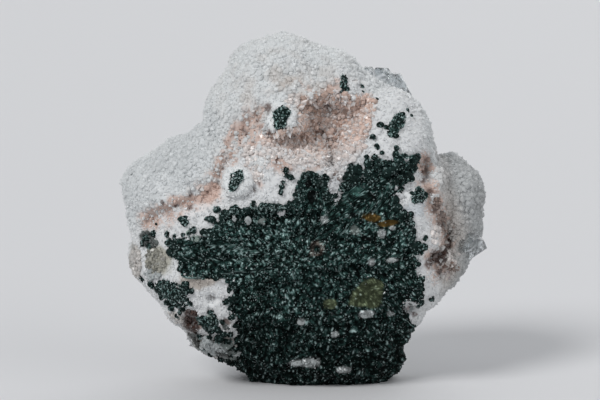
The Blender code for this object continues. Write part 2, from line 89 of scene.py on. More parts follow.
GREEN_EDGE = [
    (-33.5, 36.2), (-30.5, 38.2), (-22.0, 38.8), (-21.1, 41.6), (-19.4, 44.0), (-17.1, 45.7),
    (-14.4, 45.2), (-13.2, 45.1), (-12.3, 47.0), (-9.7, 45.4), (-9.4, 46.7), (-6.7, 46.6),
    (-4.8, 45.6), (-3.8, 46.8), (-2.1, 47.2), (-1.5, 49.8), (-0.0, 53.7), (2.6, 54.4),
    (5.5, 53.1), (5.5, 50.4), (5.4, 48.5), (6.7, 47.6), (12.5, 55.5), (13.6, 55.9),
    (14.1, 55.7), (13.4, 54.4), (15.5, 56.5), (17.5, 58.2), (18.4, 56.9), (17.9, 55.4),
    (19.8, 56.8), (20.2, 56.7), (22.7, 58.6), (24.2, 59.1), (23.1, 57.1), (26.1, 58.3),
    (27.9, 57.4), (27.9, 55.0), (26.3, 52.9), (23.9, 50.9), (22.5, 49.5), (22.6, 47.2),
    (23.3, 45.1), (25.9, 43.9), (26.8, 41.7), (26.4, 39.1), (26.0, 37.8), (28.2, 37.1),
    (29.9, 36.1), (29.7, 35.1), (27.7, 34.5), (26.9, 32.6), (27.7, 30.2), (28.6, 28.0),
    (28.9, 25.4), (28.2, 22.9), (24.2, 22.3), (24.8, 19.7), (26.4, 17.0), (30.0, 12.0),
    (34.0, 6.0), (30.0, -12.0), (-10.0, -12.0), (-22.0, 0.0), (-17.2, 9.7), (-15.7, 14.9),
    (-16.2, 18.6), (-18.2, 21.0), (-17.4, 24.3), (-17.1, 27.6), (-19.2, 28.5), (-21.0, 29.3),
    (-24.3, 28.9), (-27.4, 28.6), (-29.5, 29.3), (-29.8, 32.5), (-31.8, 34.0),
]

# The hollow that the pink crystals line, with its lip round its own middle.
HOLLOW_X = 3.6
HOLLOW_Z = 64.8
HOLLOW_DEPTH = 7.0
HOLLOW_LIP = [
    (16.8, 71.0), (16.5, 68.3), (15.7, 65.3), (14.7, 61.9), (13.7, 59.2), (11.3, 57.3),
    (9.5, 55.5), (8.1, 52.8), (6.5, 53.9), (4.6, 56.7), (0.4, 57.9), (-4.3, 57.9),
    (-8.0, 59.3), (-10.4, 62.6), (-6.1, 64.0), (-1.5, 65.2), (-0.8, 68.6), (-0.0, 71.6),
    (3.6, 72.5), (10.1, 71.7),
]
CRUST_THICKNESS = 2.4

# Domes that the druse grew as, each (x, z, radius), on the front and on the back.
FRONT_DOMES = [
    (-33.0, 52.0, 17.0), (-10.0, 76.0, 16.0), (7.0, 75.0, 10.0), (38.5, 44.0, 14.0), (38.0, 31.0, 9.0),
    (-12.5, 61.0, 9.0),
]
BACK_DOMES = [
    (-30.0, 50.0, 17.0), (-14.0, 68.0, 16.0), (6.0, 71.0, 15.0), (21.0, 58.0, 13.0),
    (34.0, 41.0, 15.0), (3.0, 47.0, 19.0), (-24.0, 28.0, 17.0), (15.0, 25.0, 17.0),
    (-5.0, 17.0, 14.0), (-11.0, 38.0, 12.0),
]
DOME_HEIGHT = 0.3

# Grooves in the front face, each (path, half width, depth).
PINK_BAND = [
    (-37.3, 41.6), (-30.8, 45.8), (-23.5, 48.8), (-19.5, 52.5), (-17.8, 57.8), (-14.9, 63.1),
    (-9.9, 68.6),
]
RIGHT_CREVICE = [
    (29.6, 55.8), (30.1, 51.3), (31.4, 47.0), (33.6, 41.5), (35.2, 37.3), (34.2, 35.0), (31.7, 32.8),
    (33.4, 28.8),
]
LOBE_VALLEY = [(-24.3, 66.2), (-19.3, 61.9), (-16.8, 57.4)]
GROOVES = [(PINK_BAND, 2.0, 1.8), (RIGHT_CREVICE, 2.4, 3.6), (LOBE_VALLEY, 2.6, 1.6)]

# Round pits (x, z, radius, depth), and knobs that stand out of the face (x, z, radius, height).
PITS = [
    (31.8, 32.8, 3.0, 2.4), (-27.3, 17.3, 2.2, 2.4), (-22.1, 23.5, 1.8, 1.5), (3.2, 7.8, 2.0, 1.8),
    (25.8, 20.3, 2.4, 1.8),
]
KNOBS = [(-5.3, 67.5, 4.1, 2.6), (-16.0, 52.4, 3.8, 1.8)]

# Ledges across the green face, each (x and z along it, how far the rock below steps back).
LEDGES = [
    ([(-15.4, 27.3), (-1.9, 28.9), (9.6, 31.9), (27.0, 30.5)], 1.3),
    ([(-17.4, 19.2), (-5.8, 17.5), (7.7, 18.5), (25.3, 20.9)], 1.5),
    ([(-13.7, 10.2), (1.9, 11.9), (13.6, 9.7), (24.8, 10.0)], 1.6),
]

# Celadonite that the quartz closed round, each (x, z, half width, half height, tilt in degrees).
CORES = {
    "celadonite_core_upper": (-5.3, 67.7, 1.9, 2.8, -20),
    "celadonite_core_left": (-16.1, 52.9, 1.5, 2.9, -25),
    "celadonite_seam_right": (22.7, 65.4, 1.6, 3.6, -35),
    "celadonite_nodule_right": (27.9, 48.4, 2.1, 1.8, 0),
    "celadonite_nodule_top": (9.9, 74.9, 1.0, 2.2, 10),
    "celadonite_patch_left": (-31.7, 24.3, 4.8, 3.2, -30),
    "celadonite_patch_low": (-23.1, 17.2, 3.0, 2.1, -20),
}
CORE_DEPTH = 3.5

# Colours that the tables below name, in linear light.
OCHRE = (0.105, 0.066, 0.020)
OLIVE = (0.085, 0.104, 0.060)
PALE = (0.40, 0.43, 0.43)
GREYED = (0.16, 0.19, 0.18)
TEALISH = (0.055, 0.125, 0.110)
DARK = (0.004, 0.006, 0.006)
RUST = (0.085, 0.062, 0.052)
YELLOWISH = (0.40, 0.39, 0.335)
DUSKY = (0.10, 0.115, 0.11)
SHADED = (0.37, 0.36, 0.34)
DEEP_SHADE = (0.24, 0.22, 0.21)
FAWN = (0.44, 0.40, 0.36)
BLUISH = (0.55, 0.58, 0.60)
GREYPINK = (0.55, 0.52, 0.52)
ROSE = (0.60, 0.455, 0.395)
MILKY = (0.62, 0.63, 0.64)
LEAFY = (0.26, 0.34, 0.30)
ROSY = (0.50, 0.44, 0.43)
BROWNISH = (0.075, 0.040, 0.031)
RUSTY = (0.34, 0.25, 0.21)
BLUSH = (0.75, 0.695, 0.665)
ASHEN = (0.50, 0.475, 0.45)
SOOTY = (0.06, 0.065, 0.058)

# Colours that the surfaces are blended from, in linear light.
WHITE = np.array([0.685, 0.70, 0.70])
MILK = np.array([0.675, 0.683, 0.685])
GREY = np.array([0.46, 0.48, 0.49])
# Painted shade: the grey that the right lobe is darkened to, as it stands back in shade.
LOBE_SHADE = np.array([0.40, 0.41, 0.41])
WARM = np.array([0.50, 0.45, 0.41])
PINK = np.array([0.58, 0.42, 0.355])
PEACH = np.array([0.73, 0.535, 0.45])
BEIGE = np.array([0.80, 0.59, 0.49])
BROWN = np.array([0.085, 0.042, 0.030])
GREEN = np.array([0.012, 0.030, 0.026])
TEAL = np.array([0.034, 0.078, 0.072])
# Pale green-grey, for the bright grains' own tone and for painted highlights on the green.
GLINT = np.array([0.42, 0.52, 0.515])

# Grains of celadonite in the white quartz and along the ragged edge of the green, each (x, z, radius).
GREEN_GRAINS = [
    (10.0, 76.1, 0.8), (9.7, 74.7, 0.6), (10.7, 73.7, 0.65), (9.3, 73.1, 0.4), (14.2, 74.0, 0.75),
    (14.5, 72.8, 0.5), (18.1, 71.1, 0.4), (25.4, 68.4, 0.55), (24.3, 67.6, 0.65), (22.5, 66.8, 0.75),
    (26.4, 67.1, 0.5), (21.5, 65.4, 0.85), (23.2, 65.2, 0.75), (21.5, 64.1, 0.8), (22.2, 62.7, 0.75),
    (20.0, 64.8, 0.5), (18.6, 65.3, 0.75), (16.8, 62.6, 0.75), (17.7, 60.3, 0.75), (18.9, 58.9, 0.6),
    (22.4, 59.9, 0.75), (22.8, 58.2, 0.65), (15.3, 58.0, 0.6), (17.2, 58.1, 0.7), (16.0, 56.6, 0.75),
    (27.1, 57.0, 0.85), (26.3, 55.9, 0.8), (19.4, 56.5, 0.75), (17.9, 55.4, 0.65), (23.3, 56.3, 0.62),
    (11.5, 56.1, 0.65), (12.2, 55.0, 0.75), (13.4, 55.4, 0.75), (10.5, 53.8, 0.75), (11.2, 53.1, 0.75),
    (-4.1, 55.1, 0.75), (-3.9, 53.9, 0.62), (-2.9, 53.4, 0.75), (-4.8, 52.2, 0.5), (-5.0, 51.1, 0.6),
    (-5.3, 49.9, 0.7), (-11.8, 47.4, 0.6), (-11.5, 46.0, 0.65), (-9.1, 46.5, 0.65), (-7.4, 46.7, 0.65),
    (-20.9, 45.4, 0.75), (-29.1, 43.0, 0.8), (-28.1, 42.3, 0.75), (-22.1, 43.2, 0.85), (-23.0, 43.4, 0.65),
    (-35.8, 41.0, 0.35), (-32.9, 39.0, 0.75), (-26.4, 40.5, 0.75), (-27.4, 39.7, 0.6), (-23.5, 39.8, 0.9),
    (-22.3, 40.4, 0.75), (-38.2, 37.3, 1.0), (-36.5, 38.6, 0.65), (-39.3, 35.8, 0.85), (-37.4, 35.4, 0.9),
    (-0.0, 53.7, 0.75), (1.4, 54.4, 0.65), (2.6, 53.7, 0.6), (4.0, 53.5, 0.3), (5.2, 53.9, 0.5),
    (26.2, 49.1, 0.65), (27.7, 49.8, 0.65), (26.7, 47.8, 0.75), (28.3, 47.3, 0.75), (29.6, 48.4, 0.6),
    (28.1, 48.4, 0.75), (29.1, 36.2, 1.0), (27.9, 37.2, 0.5), (29.6, 38.6, 0.5), (27.4, 35.1, 0.75),
    (31.3, 22.9, 0.62), (-28.3, 25.5, 1.0), (-30.5, 22.6, 1.0), (-32.2, 20.0, 0.9), (-30.1, 19.3, 0.8),
    (-23.1, 16.7, 1.0), (-21.6, 17.6, 0.85), (-24.1, 18.5, 0.75), (-22.2, 15.4, 0.85), (-22.5, 20.2, 0.75),
]

# Rounded heads of celadonite at the tips of the green's fingers and low on the left, each
# (x, z, radius).
GREEN_HEADS = [
    (11.7, 55.0, 1.25), (13.4, 54.5, 1.0), (10.5, 53.1, 1.12), (12.4, 52.6, 1.25), (15.5, 56.6, 1.0),
    (17.0, 57.9, 0.75), (15.1, 58.0, 0.62), (15.5, 54.2, 1.25), (17.7, 55.4, 0.88), (16.7, 52.6, 1.25),
    (19.6, 56.5, 0.88), (19.9, 54.4, 1.25), (22.3, 58.3, 0.88), (23.1, 56.4, 1.0), (21.6, 54.8, 1.25),
    (24.3, 55.3, 1.12), (26.6, 56.6, 1.12), (27.3, 57.4, 0.75), (26.3, 54.9, 1.25), (24.3, 53.2, 1.5),
    (26.0, 52.6, 1.12), (22.8, 52.5, 1.25), (0.2, 53.7, 1.0), (1.9, 53.9, 1.12), (0.9, 52.2, 1.25),
    (-0.5, 51.1, 1.0), (-1.5, 49.4, 1.0), (-0.8, 48.0, 1.25), (5.7, 53.2, 0.75), (4.7, 52.2, 1.0),
    (3.5, 51.8, 1.0), (5.2, 50.3, 1.0), (6.4, 48.4, 1.0), (10.2, 51.5, 1.0), (9.5, 50.3, 0.75),
    (21.8, 47.6, 1.25), (21.3, 49.5, 0.75), (23.7, 44.1, 1.0), (22.8, 45.8, 1.0), (-8.9, 45.5, 0.62),
    (-7.4, 46.3, 0.75), (-6.5, 45.8, 0.88), (-3.9, 46.3, 0.88), (-11.8, 47.1, 0.55), (-11.8, 45.9, 0.62),
    (-13.4, 45.5, 0.88), (-16.1, 45.7, 1.0), (-17.3, 45.2, 0.75), (-19.2, 43.7, 0.88), (-20.6, 45.6, 0.75),
    (-21.8, 43.2, 1.0), (-29.6, 43.0, 0.62), (-28.4, 43.3, 0.75), (-28.4, 42.1, 0.88), (-26.2, 40.7, 0.75),
    (-23.8, 40.1, 1.0), (-22.6, 39.9, 0.75), (-32.9, 39.0, 0.75), (-28.9, 39.4, 0.62), (-30.9, 38.5, 0.75),
    (-32.2, 37.1, 1.0), (-30.7, 36.5, 1.25), (-31.7, 34.7, 1.0), (-30.5, 34.1, 0.88), (25.6, 43.6, 0.75),
    (26.4, 42.1, 0.75), (25.9, 40.0, 1.0), (29.3, 38.1, 0.5), (29.1, 36.2, 1.0), (27.6, 36.0, 0.88),
    (26.7, 36.3, 1.0), (26.2, 30.2, 1.0), (28.5, 28.5, 0.62), (28.5, 26.7, 0.75), (28.7, 24.0, 0.75),
    (28.8, 22.0, 0.75), (28.1, 21.1, 0.75), (26.3, 22.0, 0.75), (25.1, 19.6, 0.75), (31.3, 22.8, 0.88),
    (28.2, 12.9, 1.0), (-37.1, 25.9, 1.0), (-35.5, 25.1, 0.88), (-33.3, 26.8, 0.75), (-28.3, 27.1, 1.0),
    (-26.9, 25.4, 0.88), (-33.1, 21.5, 1.0), (-32.2, 20.3, 0.88), (-29.3, 20.6, 0.88), (-27.2, 22.2, 0.75),
    (-23.9, 16.9, 1.0), (-22.7, 15.6, 1.0), (-21.6, 19.2, 0.62), (-19.6, 17.8, 0.75), (-20.7, 15.6, 0.88),
    (-19.2, 14.6, 1.0), (-17.7, 14.5, 0.75), (-17.8, 26.0, 0.75), (-18.6, 23.0, 0.75), (-17.4, 18.9, 0.75),
    (-16.2, 16.7, 0.75), (-20.5, 13.2, 1.2), (-18.3, 12.6, 1.0), (-22.8, 13.4, 0.9), (-17.4, 10.6, 0.8),
    (-25.2, 13.0, 0.7), (-22.8, 8.2, 0.8), (-20.2, 7.0, 0.9), (-24.8, 9.4, 0.7), (-18.4, 6.8, 0.8),
    (-39.6, 26.9, 0.7), (-34.8, 22.6, 0.8), (-30.8, 18.2, 0.6),
]

# Stains and other minerals in the green face, each (x, z, half width, half height, tilt, colour), the
# rust-brown ring (x, z, radius) and the outline of the olive patch with its middle.
FACE_SPOTS = [
    (16.5, 43.5, 2.25, 1.0, -10, OCHRE), (20.3, 42.2, 2.5, 0.8, 6, OCHRE),
    (15.4, 19.7, 2.0, 1.12, 10, PALE), (6.5, 22.5, 1.5, 1.25, 0, OLIVE), (5.0, 43.3, 0.9, 0.75, 0, PALE),
    (12.4, 40.7, 1.15, 1.05, 0, GREYED), (18.9, 39.7, 1.0, 1.15, 0, PALE),
    (21.3, 41.1, 0.75, 0.5, 0, PALE), (12.6, 50.0, 1.38, 1.12, 0, TEALISH),
    (16.3, 32.9, 0.85, 0.9, 0, PALE), (21.3, 33.3, 1.5, 0.55, 0, PALE), (-0.5, 18.1, 1.0, 0.88, 0, PALE),
    (7.7, 14.7, 0.9, 0.8, 0, PALE), (21.4, 19.0, 0.9, 0.6, 0, PALE), (1.9, 6.9, 2.25, 1.25, 0, PALE),
    (-1.5, 6.6, 2.0, 0.88, 0, PALE), (10.0, 4.8, 2.0, 0.9, 0, PALE), (26.4, 20.2, 2.0, 1.5, 0, PALE),
    (11.9, 44.5, 0.8, 0.75, 0, DARK), (16.7, 48.7, 0.8, 0.75, 0, DARK), (15.3, 38.5, 1.5, 0.6, 0, DARK),
    (1.9, 48.9, 1.25, 1.75, 0, DARK), (1.2, 51.8, 0.75, 1.0, 0, DARK), (3.6, 8.8, 0.65, 0.6, 0, DARK),
    (2.9, 7.2, 0.55, 0.55, 0, DARK),
]
RUST_RING = (3.3, 36.2, 1.9)
OLIVE_LEAF = [
    (11.0, 22.4), (11.7, 24.6), (13.2, 26.8), (16.1, 28.8), (19.0, 28.0), (19.1, 24.3), (18.2, 21.3),
    (14.9, 21.8),
]
LEAF_MIDDLE = (15.6, 24.8)

# Creases across the green face, each (path, depth).
CREASES = [
    ([(-7.9, 16.4), (0.5, 15.5)], 1.4),
    ([(-16.9, 26.1), (-14.9, 24.5)], 1.2),
    ([(-9.8, 26.2), (-6.9, 25.5)], 1.2),
    ([(-11.8, 20.9), (-6.6, 20.5)], 1.3),
    ([(5.0, 30.9), (13.6, 31.5), (26.0, 30.1)], 1.2),
    ([(-19.2, 43.3), (-13.4, 43.6), (-5.8, 44.1), (3.8, 43.9)], 1.1),
    ([(-3.9, 11.4), (9.7, 10.3), (19.5, 11.3)], 1.2),
    ([(-25.0, 33.9), (-13.4, 33.2), (-3.9, 34.7)], 0.9),
    ([(-0.0, 39.6), (9.5, 38.1), (21.1, 36.5)], 0.8),
]

# Iron-brown spots in the quartz, each (x, z, radius), the seam of stained crystals by the left core
# and the brown seam under the upper ringed knob.
BROWN_SPOTS = [
    (-8.4, 69.7, 1.2), (-10.8, 66.5, 0.5), (-9.9, 64.9, 0.5), (-7.9, 64.2, 0.55), (-0.3, 71.6, 0.65),
    (0.9, 69.7, 0.8), (1.4, 68.1, 0.9), (-0.5, 68.8, 0.5), (5.3, 69.7, 0.85), (-2.4, 73.0, 0.6),
    (4.5, 62.7, 0.75), (-14.2, 58.2, 0.75), (-13.7, 63.6, 0.65), (-19.3, 54.9, 0.4), (-27.2, 45.9, 0.75),
    (-30.6, 46.0, 0.55), (-33.8, 46.6, 0.6), (-27.2, 48.7, 0.6), (-23.3, 49.5, 0.5), (-10.5, 51.9, 0.75),
    (-11.7, 50.2, 0.5), (7.4, 53.8, 0.75), (8.1, 52.9, 0.5), (29.6, 53.7, 0.85), (29.0, 51.5, 0.75),
    (30.6, 48.6, 1.0), (32.0, 45.0, 1.25), (33.8, 41.1, 1.38), (36.4, 37.3, 1.38), (35.9, 34.6, 1.0),
    (32.1, 33.3, 2.0), (30.4, 31.9, 1.25), (33.4, 29.2, 0.85), (27.2, 18.5, 0.75), (-27.1, 17.3, 1.88),
    (-18.7, 17.8, 1.25), (-26.4, 12.4, 1.5), (-22.0, 24.1, 0.5), (-7.2, 63.7, 0.5),
]
PINK_SEAM = [(-13.2, 57.1), (-11.5, 54.5), (-10.5, 51.7)]
CORE_SEAM = [(-10.9, 66.0), (-10.4, 64.6), (-7.2, 63.4), (-3.3, 63.2)]

# Lines that iron stains, each (path, half width, strength).
STAINED_LINES = [(PINK_BAND, 3.2, 1.0), (RIGHT_CREVICE, 2.6, 1.2), (PINK_SEAM, 1.5, 0.8)]

# Patches of other quartz in the front, each (x, z, half width, half height, tilt, colour). The SHADED
# and DEEP_SHADE patches are painted shade at the left edge and the lower left.
QUARTZ_PATCHES = [
    (-34.8, 32.2, 3.25, 3.12, 0, YELLOWISH), (-37.9, 36.6, 2.25, 2.25, 20, DUSKY),
    (-41.5, 30.8, 2.0, 4.0, 0, SHADED), (-25.3, 28.3, 5.0, 2.5, 10, FAWN),
    (-24.1, 10.9, 3.0, 2.5, 0, SHADED), (-18.1, 11.1, 2.25, 2.5, 0, SHADED),
    (27.4, 45.4, 3.0, 1.75, 0, BLUISH), (-27.6, 16.9, 3.0, 3.25, 0, DEEP_SHADE),
    (-8.4, 61.9, 1.75, 1.25, -20, GREYPINK), (-22.4, 49.0, 1.9, 2.9, -20, ROSE),
]

# Heaps of pale crystals in the green and between its fingers, each (x, z, half width, half height,
# colour).
TUFTS = [
    (7.6, 50.5, 1.75, 2.75, MILKY), (7.8, 47.7, 1.25, 1.0, MILKY), (14.3, 54.3, 0.62, 2.0, MILKY),
    (14.3, 56.6, 0.75, 1.25, MILKY), (18.7, 56.7, 0.75, 1.5, MILKY), (20.9, 57.1, 1.0, 1.25, MILKY),
    (24.5, 57.5, 1.0, 1.0, MILKY), (3.5, 54.1, 1.0, 0.75, MILKY), (-2.7, 47.5, 0.75, 1.0, MILKY),
    (-5.3, 45.3, 0.88, 1.5, MILKY), (24.3, 50.3, 2.0, 1.0, MILKY), (23.0, 48.0, 1.5, 1.5, MILKY),
    (22.1, 50.7, 0.75, 0.75, MILKY), (-9.8, 42.6, 1.0, 1.0, GREYED), (-13.2, 42.9, 0.75, 1.0, PALE),
    (-16.5, 43.3, 0.5, 0.75, PALE), (-25.7, 38.5, 1.25, 0.75, LEAFY), (-27.2, 39.9, 1.0, 0.75, LEAFY),
    (26.9, 33.6, 1.0, 1.0, PALE), (27.5, 31.1, 0.75, 1.0, MILKY), (25.6, 20.3, 1.25, 1.0, ROSY),
    (-23.5, 11.9, 1.5, 2.0, PALE), (-21.9, 8.9, 1.25, 1.0, PALE), (-18.6, 11.6, 1.75, 1.25, GREYED),
    (-16.4, 8.8, 1.25, 0.75, PALE), (-32.2, 19.1, 1.0, 0.75, MILKY), (-28.4, 10.5, 0.75, 1.25, MILKY),
    (-27.7, 9.0, 0.75, 0.75, MILKY), (-29.5, 22.4, 1.0, 0.62, PALE), (-22.3, 19.2, 0.88, 0.62, LEAFY),
]

# Ovals of larger crystals, each (x, z, half width, half height, count, least and largest radius,
# colour).
COARSE = [
    (-36.1, 31.8, 2.75, 3.0, 120, 0.3, 0.65, YELLOWISH), (-37.6, 37.1, 2.25, 2.0, 40, 0.35, 0.7, DUSKY),
    (33.3, 32.4, 2.0, 1.75, 60, 0.45, 0.95, BROWNISH), (35.1, 34.9, 1.0, 1.25, 24, 0.4, 0.8, BROWNISH),
    (33.5, 41.9, 1.25, 1.5, 30, 0.4, 0.8, RUSTY), (32.3, 46.1, 1.0, 1.25, 22, 0.4, 0.7, RUSTY),
    (37.0, 28.9, 1.25, 1.5, 30, 0.4, 0.8, RUSTY), (35.4, 27.1, 1.5, 1.0, 26, 0.4, 0.8, ROSY),
    (-27.1, 18.7, 1.5, 1.5, 44, 0.35, 0.7, BROWNISH), (-26.9, 15.6, 1.25, 1.25, 34, 0.35, 0.7, BROWNISH),
    (-26.3, 13.3, 0.75, 0.75, 14, 0.3, 0.6, DUSKY), (-18.7, 16.6, 0.75, 0.62, 14, 0.3, 0.5, DUSKY),
    (-36.9, 28.4, 2.0, 1.0, 30, 0.4, 0.8, PALE), (-41.2, 31.0, 1.5, 4.0, 80, 0.3, 0.65, ASHEN),
    (-31.5, 17.6, 2.0, 1.6, 40, 0.3, 0.65, ASHEN), (-27.0, 11.4, 1.5, 2.4, 60, 0.3, 0.6, SOOTY),
    (-21.8, 10.2, 3.6, 2.2, 80, 0.3, 0.7, PALE), (-22.0, 9.6, 3.8, 2.4, 60, 0.25, 0.5, SOOTY),
    (-18.3, 8.6, 1.6, 2.6, 44, 0.3, 0.6, GREYED), (-7.5, 58.8, 3.0, 1.2, 44, 0.3, 0.65, BLUSH),
    (-1.5, 57.6, 3.4, 1.0, 44, 0.3, 0.65, BLUSH), (4.6, 57.0, 2.0, 1.2, 26, 0.3, 0.6, BLUSH),
    (-12.5, 58.5, 1.9, 2.3, 34, 0.35, 0.7, BLUSH), (-2.6, 71.2, 1.7, 1.5, 26, 0.3, 0.6, BLUSH),
    (8.3, 57.4, 1.8, 1.6, 24, 0.3, 0.6, BLUSH), (-10.8, 54.0, 1.5, 2.2, 22, 0.3, 0.6, BLUSH),
    (32.6, 38.4, 1.6, 2.4, 40, 0.3, 0.7, BLUSH), (36.8, 31.6, 1.8, 2.2, 44, 0.3, 0.7, BLUSH),
    (31.4, 29.0, 1.8, 1.6, 34, 0.3, 0.65, BLUSH), (36.9, 38.6, 1.6, 2.6, 44, 0.3, 0.7, ASHEN),
]

# Rings of points in each surface's lattice, from its middle to its edge.
BODY_RINGS = 104
GREEN_RINGS = 116
CRUST_RINGS = 34
CORE_RINGS = 9

# Scattered crystals. The druse's are (spacing, least and largest radius, prism's share of the height),
# and the hollow's are (spacing, least and largest radius, longest height over radius, whether clean).
DRUSE_COARSE = (1.6, 0.45, 0.8, 0.3)
DRUSE_FINE = (0.6, 0.25, 0.48, 0.0)
DRUSE_FINE_BEHIND = (0.72, 0.25, 0.48, 0.0)
LINING_CRYSTALS = [(1.3, 0.5, 0.95, 1.1, False), (1.1, 0.3, 0.6, 2.8, True), (0.62, 0.17, 0.36, 2.4, True)]
SUGAR_SPACING = 0.7
SUGAR_RADII = (0.26, 0.6)
GRAIN_SPACING = 0.52
GRAIN_RADII = (0.11, 0.3)
CORE_SPACING = 0.42
CORE_RADII = (0.18, 0.36)

# Heaps: how many grains lie on each square millimetre, their radii, the fewest grains a heap has, and
# how many heaps lie along the ragged edge of the green.
SPECK_COAT = 22
SPECK_RADII = (0.17, 0.34)
TUFT_COAT = 13
TUFT_RADII = (0.18, 0.38)
FEWEST_GRAINS = 5
EDGE_SPECKS = 200

# Where crystals are scattered: how many random places are tried for each that there is room for, the
# height under which there are none, and where the druse's meshes part in front and behind.
PLACES_TRIED = 3.5
FOOT_HEIGHT = 0.4
FRONT_SPLIT = 2
BACK_SPLIT = -4

# The rear of the green plug: the share of the way out from the core point that each row lies at, and
# how thick the plug is at least.
REAR_SHARES = (1.0, 0.6, 0.25, 0.0)
PLUG_LEAST = 1.6

# Seeds of the random draws: of the places, of the sizes and colours, and of the crystals' shapes. The
# heaps' and the coarse crystals' have one for places and colours, and one for shapes.
DRUSE_SEEDS = (40, 70, 90)
SUGAR_SEEDS = (51, 52, 53)
GRAIN_SEEDS = (61, 62, 75)
LINING_SEEDS = (64, 165, 66)
CORE_SEEDS = (80, 100, 120)
SPECK_SEEDS = (130, 131)
TUFT_SEEDS = (141, 142)
COARSE_SEEDS = (151, 152)
SPARKLE_SEED = 37

# Noise in the finishes, in cycles per metre: of the tint and the roughness, and of the cloudy skin and
# the flaws of the clear crystals.
TINT_NOISE = 1400.0
ROUGH_NOISE = 700.0
CLOUD_NOISE = 260.0
FLAW_NOISE = 500.0

# The stage, in metres and degrees. The lights are (place, how wide the light looks, power), and only
# the camera's aim is in millimetres.
FLOOR_REACH = 6.0
LIGHTS = {
    "key": ((-0.55, -0.60, 0.75), 22, 1.75),
    "fill": ((0.80, -0.50, 0.40), 50, 0.55),
    "back": ((0.25, 0.80, 0.55), 50, 0.7),
}
LIT_POINT = (0, 0, 0.045)
LENS = 120
CAMERA_AWAY = 0.5
CAMERA_LIFT = 7.0
CAMERA_AIM = (CORE_X, 0, 45.2)


def rise(value, low, high):
    """A smooth step from 0 at low to 1 at high: the cubic 3t^2 - 2t^3 of the share of the way."""
    share = np.clip((value - low) / (high - low), 0, 1)
    return share * share * (3 - 2 * share)


def bell(distance, width):
    """A bell-shaped share: 1 at no distance, falling off with the square of distance over width."""
    return np.exp(-((distance / width) ** 2))


def mix(a, b, share):
    """Blends the rows of a towards those of b: a plus the share of the way from a to b."""
    return a + (b - a) * np.asarray(share)[:, None]


def scatter(cell, salt):
    """A number from 0 to 1 for each whole-numbered cell, by mixing its three coordinates' bits."""
    code = (cell[:, 0] * 73856093) ^ (cell[:, 1] * 19349663) ^ (cell[:, 2] * 83492791)
    code = ((code ^ (code >> 11)) * (2654435761 + 2 * salt)) & 0xFFFFFFFF
    return ((code ^ (code >> 15)) & 0xFFFF) / 65535.0


def lumps(points, size, seed):
    """Smooth random lumps about size across, from -1 to 1: one value for each corner of a cubic grid,
    blended over each cube."""
    scaled = points / size + 7.31 * seed
    cell = np.floor(scaled).astype(np.int64)
    part = scaled - cell
    part = part * part * (3 - 2 * part)
    total = np.zeros(len(points))
    for corner in itertools.product((0, 1), repeat=3):
        value = 2 * scatter(cell + np.array(corner), 0) - 1
        total += value * np.prod(np.where(corner, part, 1 - part), axis=1)
    return total


def beads(points, size, seed, tones=False):
    """Rounded beads about size across, 0 in the creases and 1 on top: one minus the squared distance
    to the nearest of a random point per cube of a grid. With tones, also a random number per bead."""
    scaled = points / size + 3.17 * seed
    cell = np.floor(scaled).astype(np.int64)
    nearest, tone = np.full(len(points), 9.0), np.zeros(len(points))
    for step in itertools.product((-1, 0, 1), repeat=3):
        at = cell + np.array(step)
        middle = at + np.stack([scatter(at, salt) for salt in (1, 2, 3)], axis=1)
        far = ((scaled - middle) ** 2).sum(axis=1)
        if tones:
            tone = np.where(far < nearest, scatter(at, 4), tone)
        nearest = np.minimum(nearest, far)
    height = 1 - np.minimum(nearest, 1)
    return (height, tone) if tones else height


def reach(outline, x, z, turn):
    """How far an outline lies from the point (x, z) in the directions turn, with its corners eased."""
    across = np.array(outline) - (x, z)
    angle = np.arctan2(across[:, 1], across[:, 0])
    far = np.hypot(across[:, 0], across[:, 1])
    order = np.argsort(angle)
    ease = np.radians([-1.5, -0.75, 0.0, 0.75, 1.5])
    spread = [np.interp(turn + step, angle[order], far[order], period=math.tau) for step in ease]
    return np.mean(spread, axis=0)


def away_from(path, x, z):
    """The distance from each point to a path of straight runs."""
    nearest = np.full(np.shape(x), np.inf)
    for (x0, z0), (x1, z1) in itertools.pairwise(path):
        along = ((x - x0) * (x1 - x0) + (z - z0) * (z1 - z0)) / ((x1 - x0) ** 2 + (z1 - z0) ** 2)
        along = np.clip(along, 0, 1)
        nearest = np.minimum(nearest, np.hypot(x - x0 - along * (x1 - x0), z - z0 - along * (z1 - z0)))
    return nearest


def domes(x, z, spread):
    """The tallest dome over each point, with a crease where two domes meet."""
    heights = [np.sqrt(np.maximum(r * r - (x - cx) ** 2 - (z - cz) ** 2, 0)) for cx, cz, r in spread]
    return DOME_HEIGHT * np.maximum.reduce(heights)


def compared(outline, cx, cz, x, z):
    """How far each point lies from (cx, cz), and how far the outline lies in the same direction."""
    turn = np.arctan2(z - cz, x - cx)
    return np.hypot(x - cx, z - cz), reach(outline, cx, cz, turn)


def past(outline, x, z):
    """How far each point lies outside an outline round the core, negative inside it."""
    far, edge = compared(outline, CORE_X, CORE_Z, x, z)
    return far - edge


def in_hollow(x, z):
    """0 in the middle of the hollow, 1 at its lip."""
    far, edge = compared(HOLLOW_LIP, HOLLOW_X, HOLLOW_Z, x, z)
    return far / edge


def in_oval(x, z, cx, cz, wide, high, tilt):
    """0 in the middle of a tilted oval, 1 on its edge."""
    lean = math.radians(tilt)
    across = (x - cx) * math.cos(lean) + (z - cz) * math.sin(lean)
    up = (z - cz) * math.cos(lean) - (x - cx) * math.sin(lean)
    return np.hypot(across / wide, up / high)


def share_of_rim(x, z):
    """How far each point lies from the core point, as a share of the way to the rim there."""
    far, edge = compared(RIM, CORE_X, CORE_Z, x, z)
    return far / edge


def rim_y(x, z):
    """Where the rim lies from front to back: the crown leans back and the right lobe stands well behind."""
    crown = 4.0 * rise(z, 52, 84)
    lobe = 8.0 * rise(x, 31.5, 36.5) * rise(z, 60, 54)
    tip = 2.5 * rise(-x, 26, 44)
    return MIDDLE_Y + crown + lobe + tip


